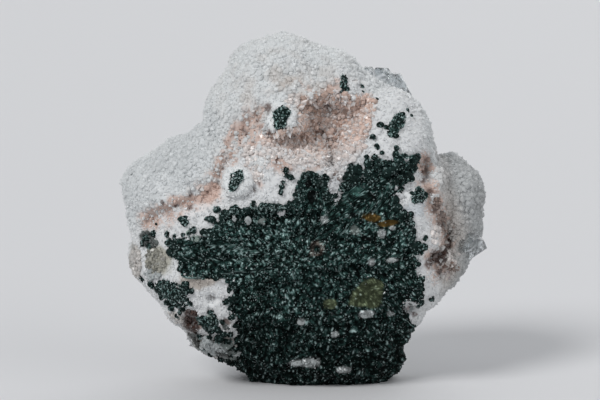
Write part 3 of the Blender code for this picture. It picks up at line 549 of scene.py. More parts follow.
def fullness(share):
    """The thickness left at a share of the way from the core to the rim: a rounded box, 1 to 0."""
    return np.maximum(1 - share**ROUNDNESS, 0) ** (1 / ROUNDNESS)


def front_relief(x, z):
    """How far the front face is pushed back at each point, negative where it stands out: the sum of the
    hollow, grooves, pits, knobs and ledges, the domes of the druse and the undercut at the foot."""
    relief = HOLLOW_DEPTH * rise(in_hollow(x, z), 1.0, 0.55) * (1 - 0.5 * rise(x, 7, 13))
    for path, half, depth in GROOVES:
        relief = relief + depth * bell(away_from(path, x, z), half)
    for cx, cz, radius, depth in PITS:
        relief = relief + depth * rise(np.hypot(x - cx, z - cz), radius, 0.4 * radius)
    for cx, cz, radius, height in KNOBS:
        relief = relief - height * rise(np.hypot(x - cx, z - cz), 1.1 * radius, 0.75 * radius)
    for path, depth in LEDGES:
        line = np.interp(x, [p[0] for p in path], [p[1] for p in path])
        ends = rise(x, path[0][0] - 3, path[0][0] + 3) * rise(x, path[-1][0] + 3, path[-1][0] - 3)
        relief = relief + depth * rise(line - z, -0.6, 1.0) * ends
    druse = rise(past(BROKEN_FACE, x, z), 0, 4)
    undercut = 1.2 * rise(z, 6.0, 0.0)
    return relief + druse * (2.8 - 0.8 * domes(x, z, FRONT_DOMES)) + undercut


def front_y(x, z):
    """The front face without its grain: the rounded section in front of the rim, and the relief, which
    fades out towards the rim."""
    full = fullness(np.minimum(share_of_rim(x, z), 1))
    return rim_y(x, z) - FRONT_DEPTH * full + front_relief(x, z) * rise(full, 0.05, 0.65)


def back_y(x, z):
    """The back without its grain: the rounded section behind the rim, with its domes. It swells
    gradually over to the right lobe."""
    full = fullness(np.minimum(share_of_rim(x, z), 1))
    swell = 8.0 * (rise(x, 14, 42) - rise(x, 31.5, 36.5)) * rise(z, 62, 50) * rise(full, 0.0, 0.5)
    lumpy = (domes(x, z, BACK_DOMES) - 3.6) * rise(full, 0.05, 0.65)
    return rim_y(x, z) + BACK_DEPTH * full + lumpy + swell


def green_floor(x, z):
    """The back of the green plug: it thins upwards and to both sides."""
    return 6.0 - 0.30 * z - 0.004 * (x - CORE_X) ** 2


def grain(points):
    """The lumps that the whole mass has, the same as on its solids."""
    return 0.7 * lumps(points, 11, 1) + 0.6 * lumps(points, 5, 2)


def ring_shares(rings):
    """Shares of the way from the core to the rim that space the rings evenly along the rounded section."""
    share = np.sin(np.linspace(0, math.pi / 2, 2000)) ** (2 / ROUNDNESS)
    deep = FRONT_DEPTH * fullness(share)
    wide = HALF_WIDTH * share
    length = np.concatenate([[0], np.cumsum(np.hypot(np.diff(wide), np.diff(deep)))])
    return np.interp(np.linspace(0, length[-1], rings + 1), length, share)


def disc_lattice(rings):
    """A disc of even triangles, ring k with 6k points: each point's ring and turn, and the triangles,
    anticlockwise seen from the front. Each ring's points are paired with the nearest of the ring inside."""
    ring_of, turn, faces = [np.zeros(1, int)], [np.zeros(1)], []
    inner_first, outer_first = 0, 1
    for ring in range(1, rings + 1):
        place = np.arange(6 * ring)
        side, step = place // ring, place % ring
        inside = max(6 * (ring - 1), 1)
        outer = outer_first + place
        onward = outer_first + (place + 1) % (6 * ring)
        inner = inner_first + (side * (ring - 1) + step) % inside
        beside = inner_first + (side * (ring - 1) + step + 1) % inside
        between = step < ring - 1
        faces.append(np.stack([outer, onward, inner], axis=1))
        faces.append(np.stack([inner, onward, beside], axis=1)[between])
        ring_of.append(np.full(6 * ring, ring))
        turn.append(math.tau * place / (6 * ring))
        inner_first, outer_first = outer_first, outer_first + 6 * ring
    return np.concatenate(ring_of), np.concatenate(turn), np.concatenate(faces)


def unit(vectors):
    """The same directions, each divided by its length."""
    return vectors / np.maximum(np.linalg.norm(vectors, axis=1), 1e-9)[:, None]


def face_crosses(points, faces):
    """Each triangle's direction times twice its area: the cross product of two of its sides."""
    a, b, c = (points[faces[:, i]] for i in range(3))
    return np.cross(b - a, c - a)


def normals_of(points, faces):
    """The outward direction at each point: the sum of the faces round it, made one long."""
    cross = face_crosses(points, faces)
    total = np.zeros_like(points)
    for i, axis in itertools.product(range(3), range(3)):
        total[:, axis] += np.bincount(faces[:, i], weights=cross[:, axis], minlength=len(points))
    return unit(total)


def doubled(x, z, front, back, ring, last, faces):
    """One closed skin from a front and a back over the same disc, sharing the last ring's points."""
    inside = np.flatnonzero(ring < last)
    behind = np.arange(len(x))
    behind[inside] = len(x) + np.arange(len(inside))
    points = np.concatenate([np.stack([x, front, z], 1), np.stack([x, back, z], 1)[inside]])
    return points, np.concatenate([faces, behind[faces[:, ::-1]]])


def body():
    """Points, triangles and which points are at the back, for the whole mass, with its lumps."""
    ring, turn, faces = disc_lattice(BODY_RINGS)
    far = ring_shares(BODY_RINGS)[ring] * reach(RIM, CORE_X, CORE_Z, turn)
    x, z = CORE_X + far * np.cos(turn), CORE_Z + far * np.sin(turn)
    points, faces = doubled(x, z, front_y(x, z), back_y(x, z), ring, BODY_RINGS, faces)
    at_back = np.arange(len(points)) >= len(x)
    points = points + normals_of(points, faces) * grain(points)[:, None]
    return points, faces, at_back


def on_knobs(points):
    """1 on the two ringed knobs, 0 off them, with a ragged edge near each knob's radius."""
    x, _, z = points.T
    ragged = 0.4 * lumps(points, 2.2, 8) + 0.2 * lumps(points, 0.9, 9)
    shares = [rise(np.hypot(x - cx, z - cz) + ragged, 1.05 * r, 0.8 * r) for cx, cz, r, _ in KNOBS]
    return np.maximum.reduce(shares)


def by_green(points):
    """1 beside the green grains and cores that stand in the quartz's front, 0 away from them: a smooth
    step of the distance to the nearest of their outlines."""
    x, _, z = points.T
    near = np.full(len(points), np.inf)
    for cx, cz, wide, high, tilt in CORES.values():
        near = np.minimum(near, (in_oval(x, z, cx, cz, wide, high, tilt) - 1) * min(wide, high))
    for cx, cz, radius in GREEN_GRAINS:
        near = np.minimum(near, np.hypot(x - cx, z - cz) - radius)
    return rise(near, 1.3, 0.7)


def zones(points, at_back):
    """Shares from 0 to 1 of green, hollow, druse and smooth white at each point. The knobs round the
    two ringed cores are smooth white too, and so is the quartz beside each green grain."""
    x, _, z = points.T
    ragged = 0.9 * lumps(points, 2.2, 8) + 0.5 * lumps(points, 0.9, 9)
    ahead = ~at_back
    green = ahead * rise(past(GREEN_EDGE, x, z) + ragged, 0.3, -0.3)
    hollow = ahead * rise(in_hollow(x, z) + 0.05 * ragged, 1.05, 0.93)
    druse = np.where(at_back, 1.0, rise(past(BROKEN_FACE, x, z) + 1.2 * ragged, -0.6, 1.4))
    smooth = np.maximum(on_knobs(points), by_green(points))
    druse = druse * (1 - hollow) * (1 - green) * (1 - smooth * ahead)
    return green, hollow, druse, (1 - green) * (1 - hollow) * (1 - druse)


def spotted(points):
    """1 in the brown spots, with ragged edges, and 0 away from them."""
    x, _, z = points.T
    ragged = 0.45 * lumps(points, 0.8, 13)
    shares = [rise(np.hypot(x - cx, z - cz) / r + ragged, 1.2, 0.6) for cx, cz, r in BROWN_SPOTS]
    return np.maximum.reduce(shares)


def rust(points, at_back):
    """How iron-stained the quartz is, 0 to 1.2. In front it is the strongest of several bell-shaped
    stains, broken up in clouds: along the band, in the crevice, left of and over the hollow, by the left
    core and at the lower left. It is deeper in the creases there and round the upper knob's foot. On the
    back there are faint clouds."""
    x, _, z = points.T
    cloud = rise(lumps(points, 2.2, 11) + 0.6 * lumps(points, 0.9, 12), -0.6, 0.8)
    lines = [strength * bell(away_from(path, x, z), wide) for path, wide, strength in STAINED_LINES]
    side = rise(x + 0.35 * (z - 60), 9, -1)
    lip = side * bell(np.maximum(in_hollow(x, z) - 1.0, 0), 0.42)
    over = 0.6 * np.exp(-(((x - 5) / 9) ** 2) - ((z - 74.5) / 2.6) ** 2)
    low_left = 0.5 * rise(z, 24, 12) * rise(x, -14, -20)
    broad = np.maximum.reduce([*lines, lip, over, low_left])
    stain = np.minimum(broad * (0.3 + 0.95 * cloud), 0.9) * (1 - on_knobs(points))
    crease = rise(beads(points, 1.7, 40), 0.42, 0.12) * rise(lumps(points, 3.0, 43), -0.5, 0.4)
    stain = stain + 0.6 * crease * rise(broad, 0.3, 0.7) * (1 - on_knobs(points))
    ring = bell(away_from(CORE_SEAM, x, z), 0.55) * rise(lumps(points, 1.6, 44), -0.8, 0.2)
    stain = np.maximum(stain, 1.1 * ring)
    behind = 0.45 * rise(lumps(points, 9.0, 20) + 0.4 * lumps(points, 3.0, 21), 0.2, 0.9)
    return np.where(at_back, behind * cloud, np.clip(stain, 0, 1.2))


def quartz_colour(points, at_back, stained=1.0):
    """White quartz with greyer clouds, painted shade in grey on the right lobe and a little grey painted
    shade on the left one, with warm clouds on the crown's middle, pinkish and then brown where iron stains
    it, painted shade that darkens it towards the foot and along the crevice, and green where the celadonite
    comes round under it. stained scales the iron, for all points or for each."""
    x, y, z = points.T
    cloud = 0.5 + 0.5 * lumps(points, 6.0, 14)
    broad = rise(lumps(points, 9.0, 38) + 0.4 * lumps(points, 3.6, 39), -0.6, 0.6)
    ahead = ~at_back
    _, hollow, druse, _ = zones(points, at_back)
    colour = mix(np.broadcast_to(MILK, points.shape), WHITE, druse)
    colour = mix(colour, GREY, 0.22 * cloud * np.maximum(druse, 0.2) + 0.15 * broad * druse)
    # Painted shade: the left lobe is greyed a little as if in shade.
    colour = mix(colour, GREY, 0.25 * ahead * druse * rise(-x, 18, 28))
    # Painted shade: the front of the right lobe, which stands further back, is greyed as if in shade.
    lobe = rise(x, 31.5, 36.5) * rise(y + 3 * cloud, 16, 4)
    colour = mix(colour, LOBE_SHADE, lobe * (0.8 + 0.2 * cloud))
    crevice = away_from(RIGHT_CREVICE, x, z)
    colour = mix(colour, WARM, 0.7 * lobe * rise(crevice, 8, 2))
    colour = mix(colour, 1.05 * WHITE, on_knobs(points) * ahead)
    crown = ahead * np.exp(-(((x + 4) / 12) ** 2) - ((z - 72) / 10) ** 2)
    warm = rise(lumps(points, 3.4, 16) + 0.6 * lumps(points, 1.6, 17), -0.5, 0.9)
    colour = mix(colour, WARM, 0.9 * crown * druse * warm)
    for cx, cz, wide, high, tilt, tone in QUARTZ_PATCHES:
        near = in_oval(x, z, cx, cz, wide, high, tilt) + 0.3 * lumps(points, 1.6, 15)
        colour = mix(colour, np.array(tone), ahead * rise(near, 1.25, 0.7))
    stain = stained * np.maximum(rust(points, at_back), 0.4 * hollow)
    colour = mix(colour, PINK, rise(stain, 0.10, 0.80) * 0.9)
    colour = mix(colour, BROWN, rise(stain, 0.82, 1.12) * 0.9)
    colour = mix(colour, BROWN, 0.9 * ahead * spotted(points) * np.clip(0.3 + stained, 0, 1))
    low_left = rise(z, 17, 8) * rise(x, -12, -19)
    mottled = rise(lumps(points, 1.6, 45) + 0.5 * lumps(points, 0.7, 46), -0.1, 0.3)
    colour = mix(colour, 2 * GREEN, 0.8 * low_left * mottled * ahead)
    # Painted shade: darker in the crevice and towards the foot of the front.
    deep = 0.6 * bell(crevice, 1.3) * rise(lumps(points, 1.4, 47), -0.6, 0.5)
    colour = colour * (1 - (0.3 * rise(z, 26, 2) + deep) * ahead)[:, None]
    over = y - rim_y(x, z) - 3.0 * lumps(points, 2.6, 18) - 1.5 * lumps(points, 1.1, 19)
    under = at_back * rise(over, 3.0, 1.5) * (past(GREEN_EDGE, x, z) < 0)
    return mix(colour, 1.4 * GREEN, under)


def past_leaf(x, z):
    """How far each point lies outside the olive patch, negative inside it."""
    far, edge = compared(OLIVE_LEAF, *LEAF_MIDDLE, x, z)
    return far - edge


def marked(points):
    """1 in the spots and the olive patch of the green face, 0 away from them."""
    x, _, z = points.T
    spots = [rise(in_oval(x, z, *spot[:5]), 1.15, 0.85) for spot in FACE_SPOTS]
    return np.maximum.reduce([*spots, rise(past_leaf(x, z), 0.2, -0.2)])


def green_colour(points):
    """Dark celadonite with teal clouds, with painted shade that darkens it towards the foot, and the stains
    and pale minerals set in its face."""
    x, _, z = points.T
    cloud = 0.5 + 0.5 * lumps(points, 4.5, 21) + 0.3 * lumps(points, 1.2, 22)
    colour = mix(np.broadcast_to(GREEN, points.shape), TEAL, np.clip(0.5 * cloud, 0, 1))
    # Painted shade: darker towards the foot.
    colour = colour * (0.45 + 0.55 * rise(z, 2, 34))[:, None]
    ragged = 0.22 * lumps(points, 1.3, 23)
    for cx, cz, wide, high, tilt, tone in FACE_SPOTS:
        share = rise(in_oval(x, z, cx, cz, wide, high, tilt) + ragged, 1.15, 0.85)
        colour = mix(colour, np.array(tone), share)
    leaf = past_leaf(x, z) + 1.2 * ragged
    colour = mix(colour, np.array(OLIVE), rise(leaf, 0.3, -0.3))
    cx, cz, radius = RUST_RING
    ring = np.abs(np.hypot(x - cx, z - cz) / radius - 0.75 + ragged)
    return mix(colour, np.array(RUST), 0.8 * rise(ring, 0.35, 0.15))


def green_tint(points, light):
    """The colour of the green face: its own colour, with painted shade near black where it has no light,
    and painted highlights of paler teal to grey where it has most. Its painted light is strongest at the
    upper left, and it is even in its stained spots."""
    base = green_colour(points)
    x, _, z = points.T
    light = light + 0.6 * marked(points) * (0.2 - light)
    # Painted light: the face is painted lighter higher up and towards the upper left, as if lit from there.
    high = 0.8 + 0.2 * rise(z, 0, 32) + 0.5 * rise(-x, -6, 18) * rise(z, 26, 42)
    colour = base * (0.02 + 3.4 * light * high)[:, None]
    # Painted highlight: the most lit places are mixed towards GLINT.
    return mix(colour, GLINT, 0.8 * rise(light * high, 0.45, 1.9))


def grain_colour(at, rng):
    """A grain's colour: half are dark, the others the face's own colour up to bright teal, with the face's
    painted light and shade from green_tint.
    """
    light = np.where(rng.random(len(at)) < 0.5, 0.1, rng.uniform(0.4, 1.6, len(at)))
    return green_tint(at, light)


def glint_colour(at, rng):
    """A bright grain's colour: the face's own mixed with pale green-grey, more of it in some clusters,
    partly the grains' own pale tone and partly painted highlight, with painted shade towards the foot.
    """
    cluster = 0.7 + 0.3 * lumps(at, 2.0, 33)
    share = cluster * rng.uniform(0.1, 0.9, len(at)) ** 1.2
    # Painted shade: darker towards the foot.
    return mix(green_colour(at), GLINT, share) * (0.4 + 0.6 * rise(at[:, 2], 0, 30))[:, None]


def heap_colour(at, rng):
    """The colour of a grain in a heap or a core: one in five is a bright grain's, the others a grain's."""
    bright = (rng.random(len(at)) < 0.2)[:, None]
    return np.where(bright, glint_colour(at, rng), grain_colour(at, rng))


def lining_colour(points):
    """Beige to pink quartz: beige on the left, browner under the top ledge as painted shade and in cracks,
    peach on the right and white low down."""
    x, _, z = points.T
    cloud = rise(lumps(points, 2.4, 28) + 0.4 * lumps(points, 1.0, 29), -0.7, 0.7)
    colour = mix(np.broadcast_to(BEIGE, points.shape), PEACH, 0.2 + 0.8 * rise(x + 3 * cloud, 3, 9))
    colour = mix(colour, MILK, 0.8 * rise(z - 0.25 * np.abs(x - 4), 61, 54) + 0.12 * cloud)
    # Painted shade: browner under the top ledge of the hollow, broken up by clouds.
    colour = mix(colour, BROWN, 0.35 * rise(z, 68, 72) * (1 - cloud))
    return mix(colour, BROWN, 0.85 * spotted(points))


def heads(points):
    """The rounded heads that the druse grew as: beads of two sizes."""
    return 1.0 * beads(points, 3.8, 4) + 0.4 * beads(points, 1.9, 5) - 0.8


def knots(points):
    """The smaller rounded lumps of the smooth white quartz."""
    return 0.6 * beads(points, 2.3, 6) + 0.3 * beads(points, 1.1, 7) - 0.5


def green_crag(points):
    """The green face's own relief: lumps, beads, pits and the creases across it."""
    x, _, z = points.T
    crag = 0.75 * lumps(points, 2.4, 24) + 1.2 * np.minimum(0, lumps(points, 3.2, 25) + 0.2)
    crag = crag + 0.6 * beads(points, 1.2, 26) - 0.3
    for path, depth in CREASES:
        crag = crag - depth * bell(away_from(path, x, z) + 0.5 * lumps(points, 1.5, 27), 0.7)
    return crag


def green_grit(points):
    """The green face's fine grain. Its height is the sum of beads of three sizes. How light it is, from 0
    in the creases and between the flecks, is their height times a random number for each bead, the
    flecks and a random sparkle: painted shade in the creases, painted highlights on the tops and painted
    glints, mixed with the grains' own random tone. Returns both."""
    large = beads(points, 1.5, 34)
    middle, tone = beads(points, 0.8, 35, tones=True)
    small, speck = beads(points, 0.42, 36, tones=True)
    height = 0.35 * large + 0.35 * middle + 0.3 * small - 0.55
    # Painted light: lighter on the tops of the beads, with painted shade in the creases between them.
    light = rise(0.6 * large + 0.6 * middle + 0.6 * small, 0.7, 1.65)
    fleck = rise(lumps(points, 0.6, 41) + 0.6 * lumps(points, 0.32, 42), -0.35, 0.85)
    # Painted glints: a random sparkle on each point.
    sparkle = np.random.default_rng(SPARKLE_SEED).uniform(0.2, 1.8, len(points)) ** 1.3
    light = 1.15 * light * (0.45 + 0.9 * tone**2) * (0.3 + 1.1 * speck**1.6)
    return height, light * (0.15 + 1.7 * fleck**1.4) * sparkle


def make_mesh(name, points, faces, finish, colour=None, smooth=False):
    """A mesh object from points in millimetres and triangles, with a colour for each point. Points
    under the table are lifted to it."""
    mesh = bpy.data.meshes.new(name)
    mesh.vertices.add(len(points))
    places = points * MM
    places[:, 2] = np.maximum(places[:, 2], 0)
    mesh.vertices.foreach_set("co", places.astype(np.float32).ravel())
    mesh.loops.add(3 * len(faces))
    mesh.loops.foreach_set("vertex_index", faces.astype(np.int32).ravel())
    mesh.polygons.add(len(faces))
    mesh.polygons.foreach_set("loop_start", np.arange(0, 3 * len(faces), 3, dtype=np.int32))
    mesh.update(calc_edges=True)
    mesh.polygons.foreach_set("use_smooth", np.full(len(faces), smooth))
    if colour is not None:
        paint = mesh.color_attributes.new("paint", "FLOAT_COLOR", "POINT")
        rgba = np.concatenate([np.clip(colour, 0, 1), np.ones((len(points), 1))], axis=1)
        paint.data.foreach_set("color", rgba.astype(np.float32).ravel())
    mesh.materials.append(finish)
    made = bpy.data.objects.new(name, mesh)
    bpy.context.scene.collection.objects.link(made)
    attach(made, "root")
    return made


def drop_flat(points, faces):
    """Merges points that fall together and leaves out triangles that have no area. Returns also which
    of the points are kept."""
    _, first, same = np.unique(np.round(points, 4), axis=0, return_index=True, return_inverse=True)
    faces = same.ravel()[faces]
    distinct = (faces[:, 0] != faces[:, 1]) & (faces[:, 1] != faces[:, 2]) & (faces[:, 2] != faces[:, 0])
    return points[first], faces[distinct], first


def joined(batches):
    """Points, triangles and colours of several batches as one mesh."""
    before = np.cumsum([0] + [len(points) for points, _, _ in batches])
    points = np.concatenate([points for points, _, _ in batches])
    faces = np.concatenate([first + faces for first, (_, faces, _) in zip(before, batches)])
    return points, faces, np.concatenate([colour for _, _, colour in batches])


def spread_points(points, faces, wanted, spacing, seed, keep):
    """Places about spacing apart on a surface: random places weighted by area and by how much each point
    wants them, thinned to one in each cube of that size, of which the share keep stays. Returns the
    places and the directions out of the surface there."""
    rng = np.random.default_rng(seed)
    cross = face_crosses(points, faces)
    area = np.linalg.norm(cross, axis=1) / 2 * wanted[faces].mean(axis=1)
    count = int(area.sum() / spacing**2 * PLACES_TRIED)
    pick = rng.choice(len(faces), count, p=area / area.sum())
    u, v = rng.random(count), rng.random(count)
    over = u + v > 1
    u, v = np.where(over, 1 - u, u), np.where(over, 1 - v, v)
    a, b, c = (points[faces[pick, i]] for i in range(3))
    at = a + u[:, None] * (b - a) + v[:, None] * (c - a)
    smooth = normals_of(points, faces)
    out = unit(smooth[faces[pick]].mean(axis=1))
    _, first = np.unique(np.floor(at / spacing).astype(np.int64), axis=0, return_index=True)
    first = first[rng.random(len(first)) < keep]
    return at[first], out[first]


def tilted(out, amount, rng):
    """Directions leant by a random amount, with two directions square to each."""
    lean = unit(out + amount * rng.normal(size=out.shape))
    side = unit(np.cross(lean, rng.normal(size=out.shape)))
    return lean, side, np.cross(lean, side)


def six_sided(at, out, radius, height, lean, seed, prism=0.0):
    """Six-sided crystals joined in one mesh: a ring of six corners sunk in the surface (a second ring
    over it where there is a prism) and a tip, on each crystal's own axis, which leans by a random
    amount. Rings and tips are a little uneven. Returns points, triangles and the corners of each."""
    rng = np.random.default_rng(seed)
    axis, side, across = tilted(out, lean, rng)
    n = len(at)
    turn = np.arange(6) * math.tau / 6
    wide = radius[:, None] * (1 + 0.2 * rng.uniform(-1, 1, (n, 6)))
    round_it = side[:, None] * np.cos(turn)[None, :, None] + across[:, None] * np.sin(turn)[None, :, None]
    sunk = 0.3 * height + lean * radius
    low = at[:, None] + round_it * wide[..., None] - axis[:, None] * sunk[:, None, None]
    rings = [low]
    if prism:
        rings.append(low + axis[:, None] * (sunk + prism * height)[:, None, None])
    shift = rng.uniform(-0.35, 0.35, (n, 2)) * radius[:, None]
    tip = at + axis * (height * (1 + 0.5 * prism))[:, None] + side * shift[:, :1] + across * shift[:, 1:]
    points = np.concatenate([*rings, tip[:, None]], axis=1)
    place, onward = np.arange(6), (np.arange(6) + 1) % 6
    top = 6 * len(rings)
    shape = [np.array([(0, 2, 1), (0, 3, 2), (0, 4, 3), (0, 5, 4)])]
    if prism:
        shape.append(np.stack([place, onward, 6 + onward], 1))
        shape.append(np.stack([place, 6 + onward, 6 + place], 1))
    shape.append(np.stack([top - 6 + place, top - 6 + onward, np.full(6, top)], 1))
    shape = np.concatenate(shape)
    faces = (np.arange(n)[:, None, None] * (top + 1) + shape[None]).reshape(-1, 3)
    return points.reshape(-1, 3), faces, top + 1


def per_crystal(values, corners, foot=1.0):
    """One colour per crystal at each of its corners, times foot at the foot, halfway from there to 1 at
    the second ring and 1 at the tip. A foot under 1 is painted shade at the crystal's foot."""
    rising = np.full(corners, foot)
    rising[6:] = 0.5 + 0.5 * foot
    rising[-1] = 1.0
    return (values[:, None] * rising[None, :, None]).reshape(-1, 3)


def oval_edge(half_wide, half_high, tilt, seed, turn):
    """The outline of a tilted oval in the directions turn, uneven by waves of three and of five."""
    across = turn - math.radians(tilt)
    smooth = 1 / np.hypot(np.cos(across) / half_wide, np.sin(across) / half_high)
    return smooth * (1 + 0.12 * np.sin(3 * turn + seed) + 0.05 * np.sin(5 * turn + 2 * seed))


def ball(level):
    """Points and triangles of an even ball one long, from a twelve-cornered solid divided level times."""
    shape = bmesh.new()
    bmesh.ops.create_icosphere(shape, subdivisions=level, radius=1.0)
    points = np.array([v.co[:] for v in shape.verts])
    faces = np.array([[v.index for v in f.verts] for f in shape.faces])
    shape.free()
    return points, faces


def heaps(places, sizes, coat, radii, seed, flat=0.6, stand=0.1):
    """Heaps of grains in the front face, each at its own (x, z), with half width and half height from
    sizes. A heap's core is a lumpy ball that is deep by flat times its lesser half size, and its middle
    stands out by stand. Over it lie coat six-sided grains for each square millimetre, at random
    directions that favour the front. Returns the balls' points, triangles and points in each, and the
    grains' points, triangles, corners of each, places and owners."""
    rng = np.random.default_rng(seed)
    x, z = places[:, 0], places[:, 1]
    middle = np.stack([x, front_y(x, z), z], 1)
    middle[:, 1] -= grain(middle) + stand
    deep = flat * np.minimum(sizes[:, 0], sizes[:, 1]) + 0.1
    half = np.stack([sizes[:, 0], deep, sizes[:, 1]], 1)
    shape, faces = ball(2)
    swell = rng.uniform(0.88, 1.12, (len(x), 1, 3)) * half[:, None]
    balls = (middle[:, None] + shape[None] * swell).reshape(-1, 3)
    centre = middle.repeat(len(shape), axis=0)
    balls = centre + (balls - centre) * (1 + 0.3 * lumps(balls, 1.1, seed))[:, None]
    ball_faces = (np.arange(len(x))[:, None, None] * len(shape) + faces[None]).reshape(-1, 3)
    count = np.maximum((sizes[:, 0] * sizes[:, 1] * coat).astype(int), FEWEST_GRAINS)
    owner = np.repeat(np.arange(len(x)), count)
    way = unit(rng.normal(size=(len(owner), 3)) - (0, 0.8, 0))
    at = middle[owner] + way * half[owner] * rng.uniform(0.8, 1.15, (len(owner), 1))
    radius = rng.uniform(*radii, len(at))
    height = radius * rng.uniform(0.8, 1.4, len(at))
    grains, grain_faces, corners = six_sided(at, way, radius, height, 0.4, seed)
    return (balls, ball_faces, len(shape)), (grains, grain_faces, corners, at, owner)


def set_inputs(node, values):
    """Puts each value on the node's input of that name."""
    for name, value in values.items():
        node.inputs[name].default_value = value


def plain_finish(name, rough, transmission=0.0, subsurface=0.0, ior=1.54, specular=0.5):
    """A named material with these values on its Principled shader. Returns it, its node tree and the
    shader."""
    finish = bpy.data.materials.new(name)
    finish.use_nodes = True
    tree = finish.node_tree
    shader = tree.nodes["Principled BSDF"]
    set_inputs(shader, {
        "Roughness": rough, "IOR": ior, "Transmission Weight": transmission, "Specular IOR Level": specular,
        "Subsurface Weight": subsurface, "Subsurface Scale": 0.002, "Subsurface Radius": (1.0, 0.9, 0.8),
    })
    return finish, tree, shader


def noise(tree, where, scale, detail=3.0):
    """The socket of a fractal noise texture, with scale in cycles per metre."""
    texture = tree.nodes.new("ShaderNodeTexNoise")
    set_inputs(texture, {"Scale": scale, "Detail": detail})
    tree.links.new(where, texture.inputs["Vector"])
    return texture.outputs["Fac"]


def mapped(tree, value, low, high):
    """The socket of a noise value whose middle range, 0.3 to 0.7, is mapped onto low to high."""
    scaled = tree.nodes.new("ShaderNodeMapRange")
    set_inputs(scaled, {"From Min": 0.3, "From Max": 0.7, "To Min": low, "To Max": high})
    tree.links.new(value, scaled.inputs["Value"])
    return scaled.outputs["Result"]


def fine_bump(tree, shader, height, strength):
    """Gives a shader a bump of at most 0.2 mm from a noise value."""
    relief = tree.nodes.new("ShaderNodeBump")
    set_inputs(relief, {"Strength": strength, "Distance": 0.2 * MM})
    tree.links.new(height, relief.inputs["Height"])
    tree.links.new(relief.outputs["Normal"], shader.inputs["Normal"])


def painted_finish(name, rough, vary, bump_scale=0.0, bump=0.0, **more):
    """A finish whose colour is the painted one times fine noise, from 1 - vary to 1 + vary. Its
    roughness is noise over the range rough, and where asked it has a fine bump."""
    finish, tree, shader = plain_finish(name, rough[0], **more)
    where = tree.nodes.new("ShaderNodeTexCoord").outputs["Object"]
    paint = tree.nodes.new("ShaderNodeAttribute")
    paint.attribute_name = "paint"
    tinted = tree.nodes.new("ShaderNodeVectorMath")
    tinted.operation = "SCALE"
    tree.links.new(paint.outputs["Color"], tinted.inputs[0])
    tree.links.new(mapped(tree, noise(tree, where, TINT_NOISE), 1 - vary, 1 + vary), tinted.inputs["Scale"])
    tree.links.new(tinted.outputs["Vector"], shader.inputs["Base Color"])
    tree.links.new(mapped(tree, noise(tree, where, ROUGH_NOISE), *rough), shader.inputs["Roughness"])
    if bump:
        fine_bump(tree, shader, noise(tree, where, bump_scale, detail=4.0), bump)
    return finish


def clear_finish():
    """Apophyllite: nearly clear glass with a faint grey-green body colour from absorption, cleavage
    flaws as a fine bump and cloudy patches of rougher skin."""
    finish, tree, shader = plain_finish("apophyllite", 0.06, transmission=1.0, ior=1.535)
    set_inputs(shader, {"Base Color": (0.93, 0.96, 0.97, 1)})
    where = tree.nodes.new("ShaderNodeTexCoord").outputs["Object"]
    tree.links.new(mapped(tree, noise(tree, where, CLOUD_NOISE), 0.14, 0.36), shader.inputs["Roughness"])
    fine_bump(tree, shader, noise(tree, where, FLAW_NOISE), 0.1)
    absorb = tree.nodes.new("ShaderNodeVolumeAbsorption")
    set_inputs(absorb, {"Color": (0.72, 0.76, 0.78, 1), "Density": 30.0})
    tree.links.new(absorb.outputs["Volume"], tree.nodes["Material Output"].inputs["Volume"])
    return finish


def quartz_mass(surface, finish):
    """The quartz without its points. Rounded heads swell over the druse and the white band, each by the
    share of its zone, and the face drops behind the green plug and the crust of the hollow."""
    points, faces, at_back = surface
    _, _, druse, band = zones(points, at_back)
    out = normals_of(points, faces)
    x, _, z = points.T
    points = points + out * (druse * heads(points) + band * knots(points))[:, None]
    inside = ~at_back & (past(GREEN_EDGE, x, z) < -0.8)
    points[inside, 1] = np.maximum(points[inside, 1], green_floor(x, z)[inside] + GAP)
    lined = ~at_back & (in_hollow(x, z) < 1.0)
    points[lined, 1] += CRUST_THICKNESS
    made = make_mesh("quartz_mass", points, faces, finish, quartz_colour(surface[0], at_back), smooth=True)
    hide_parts("quartz_druse")


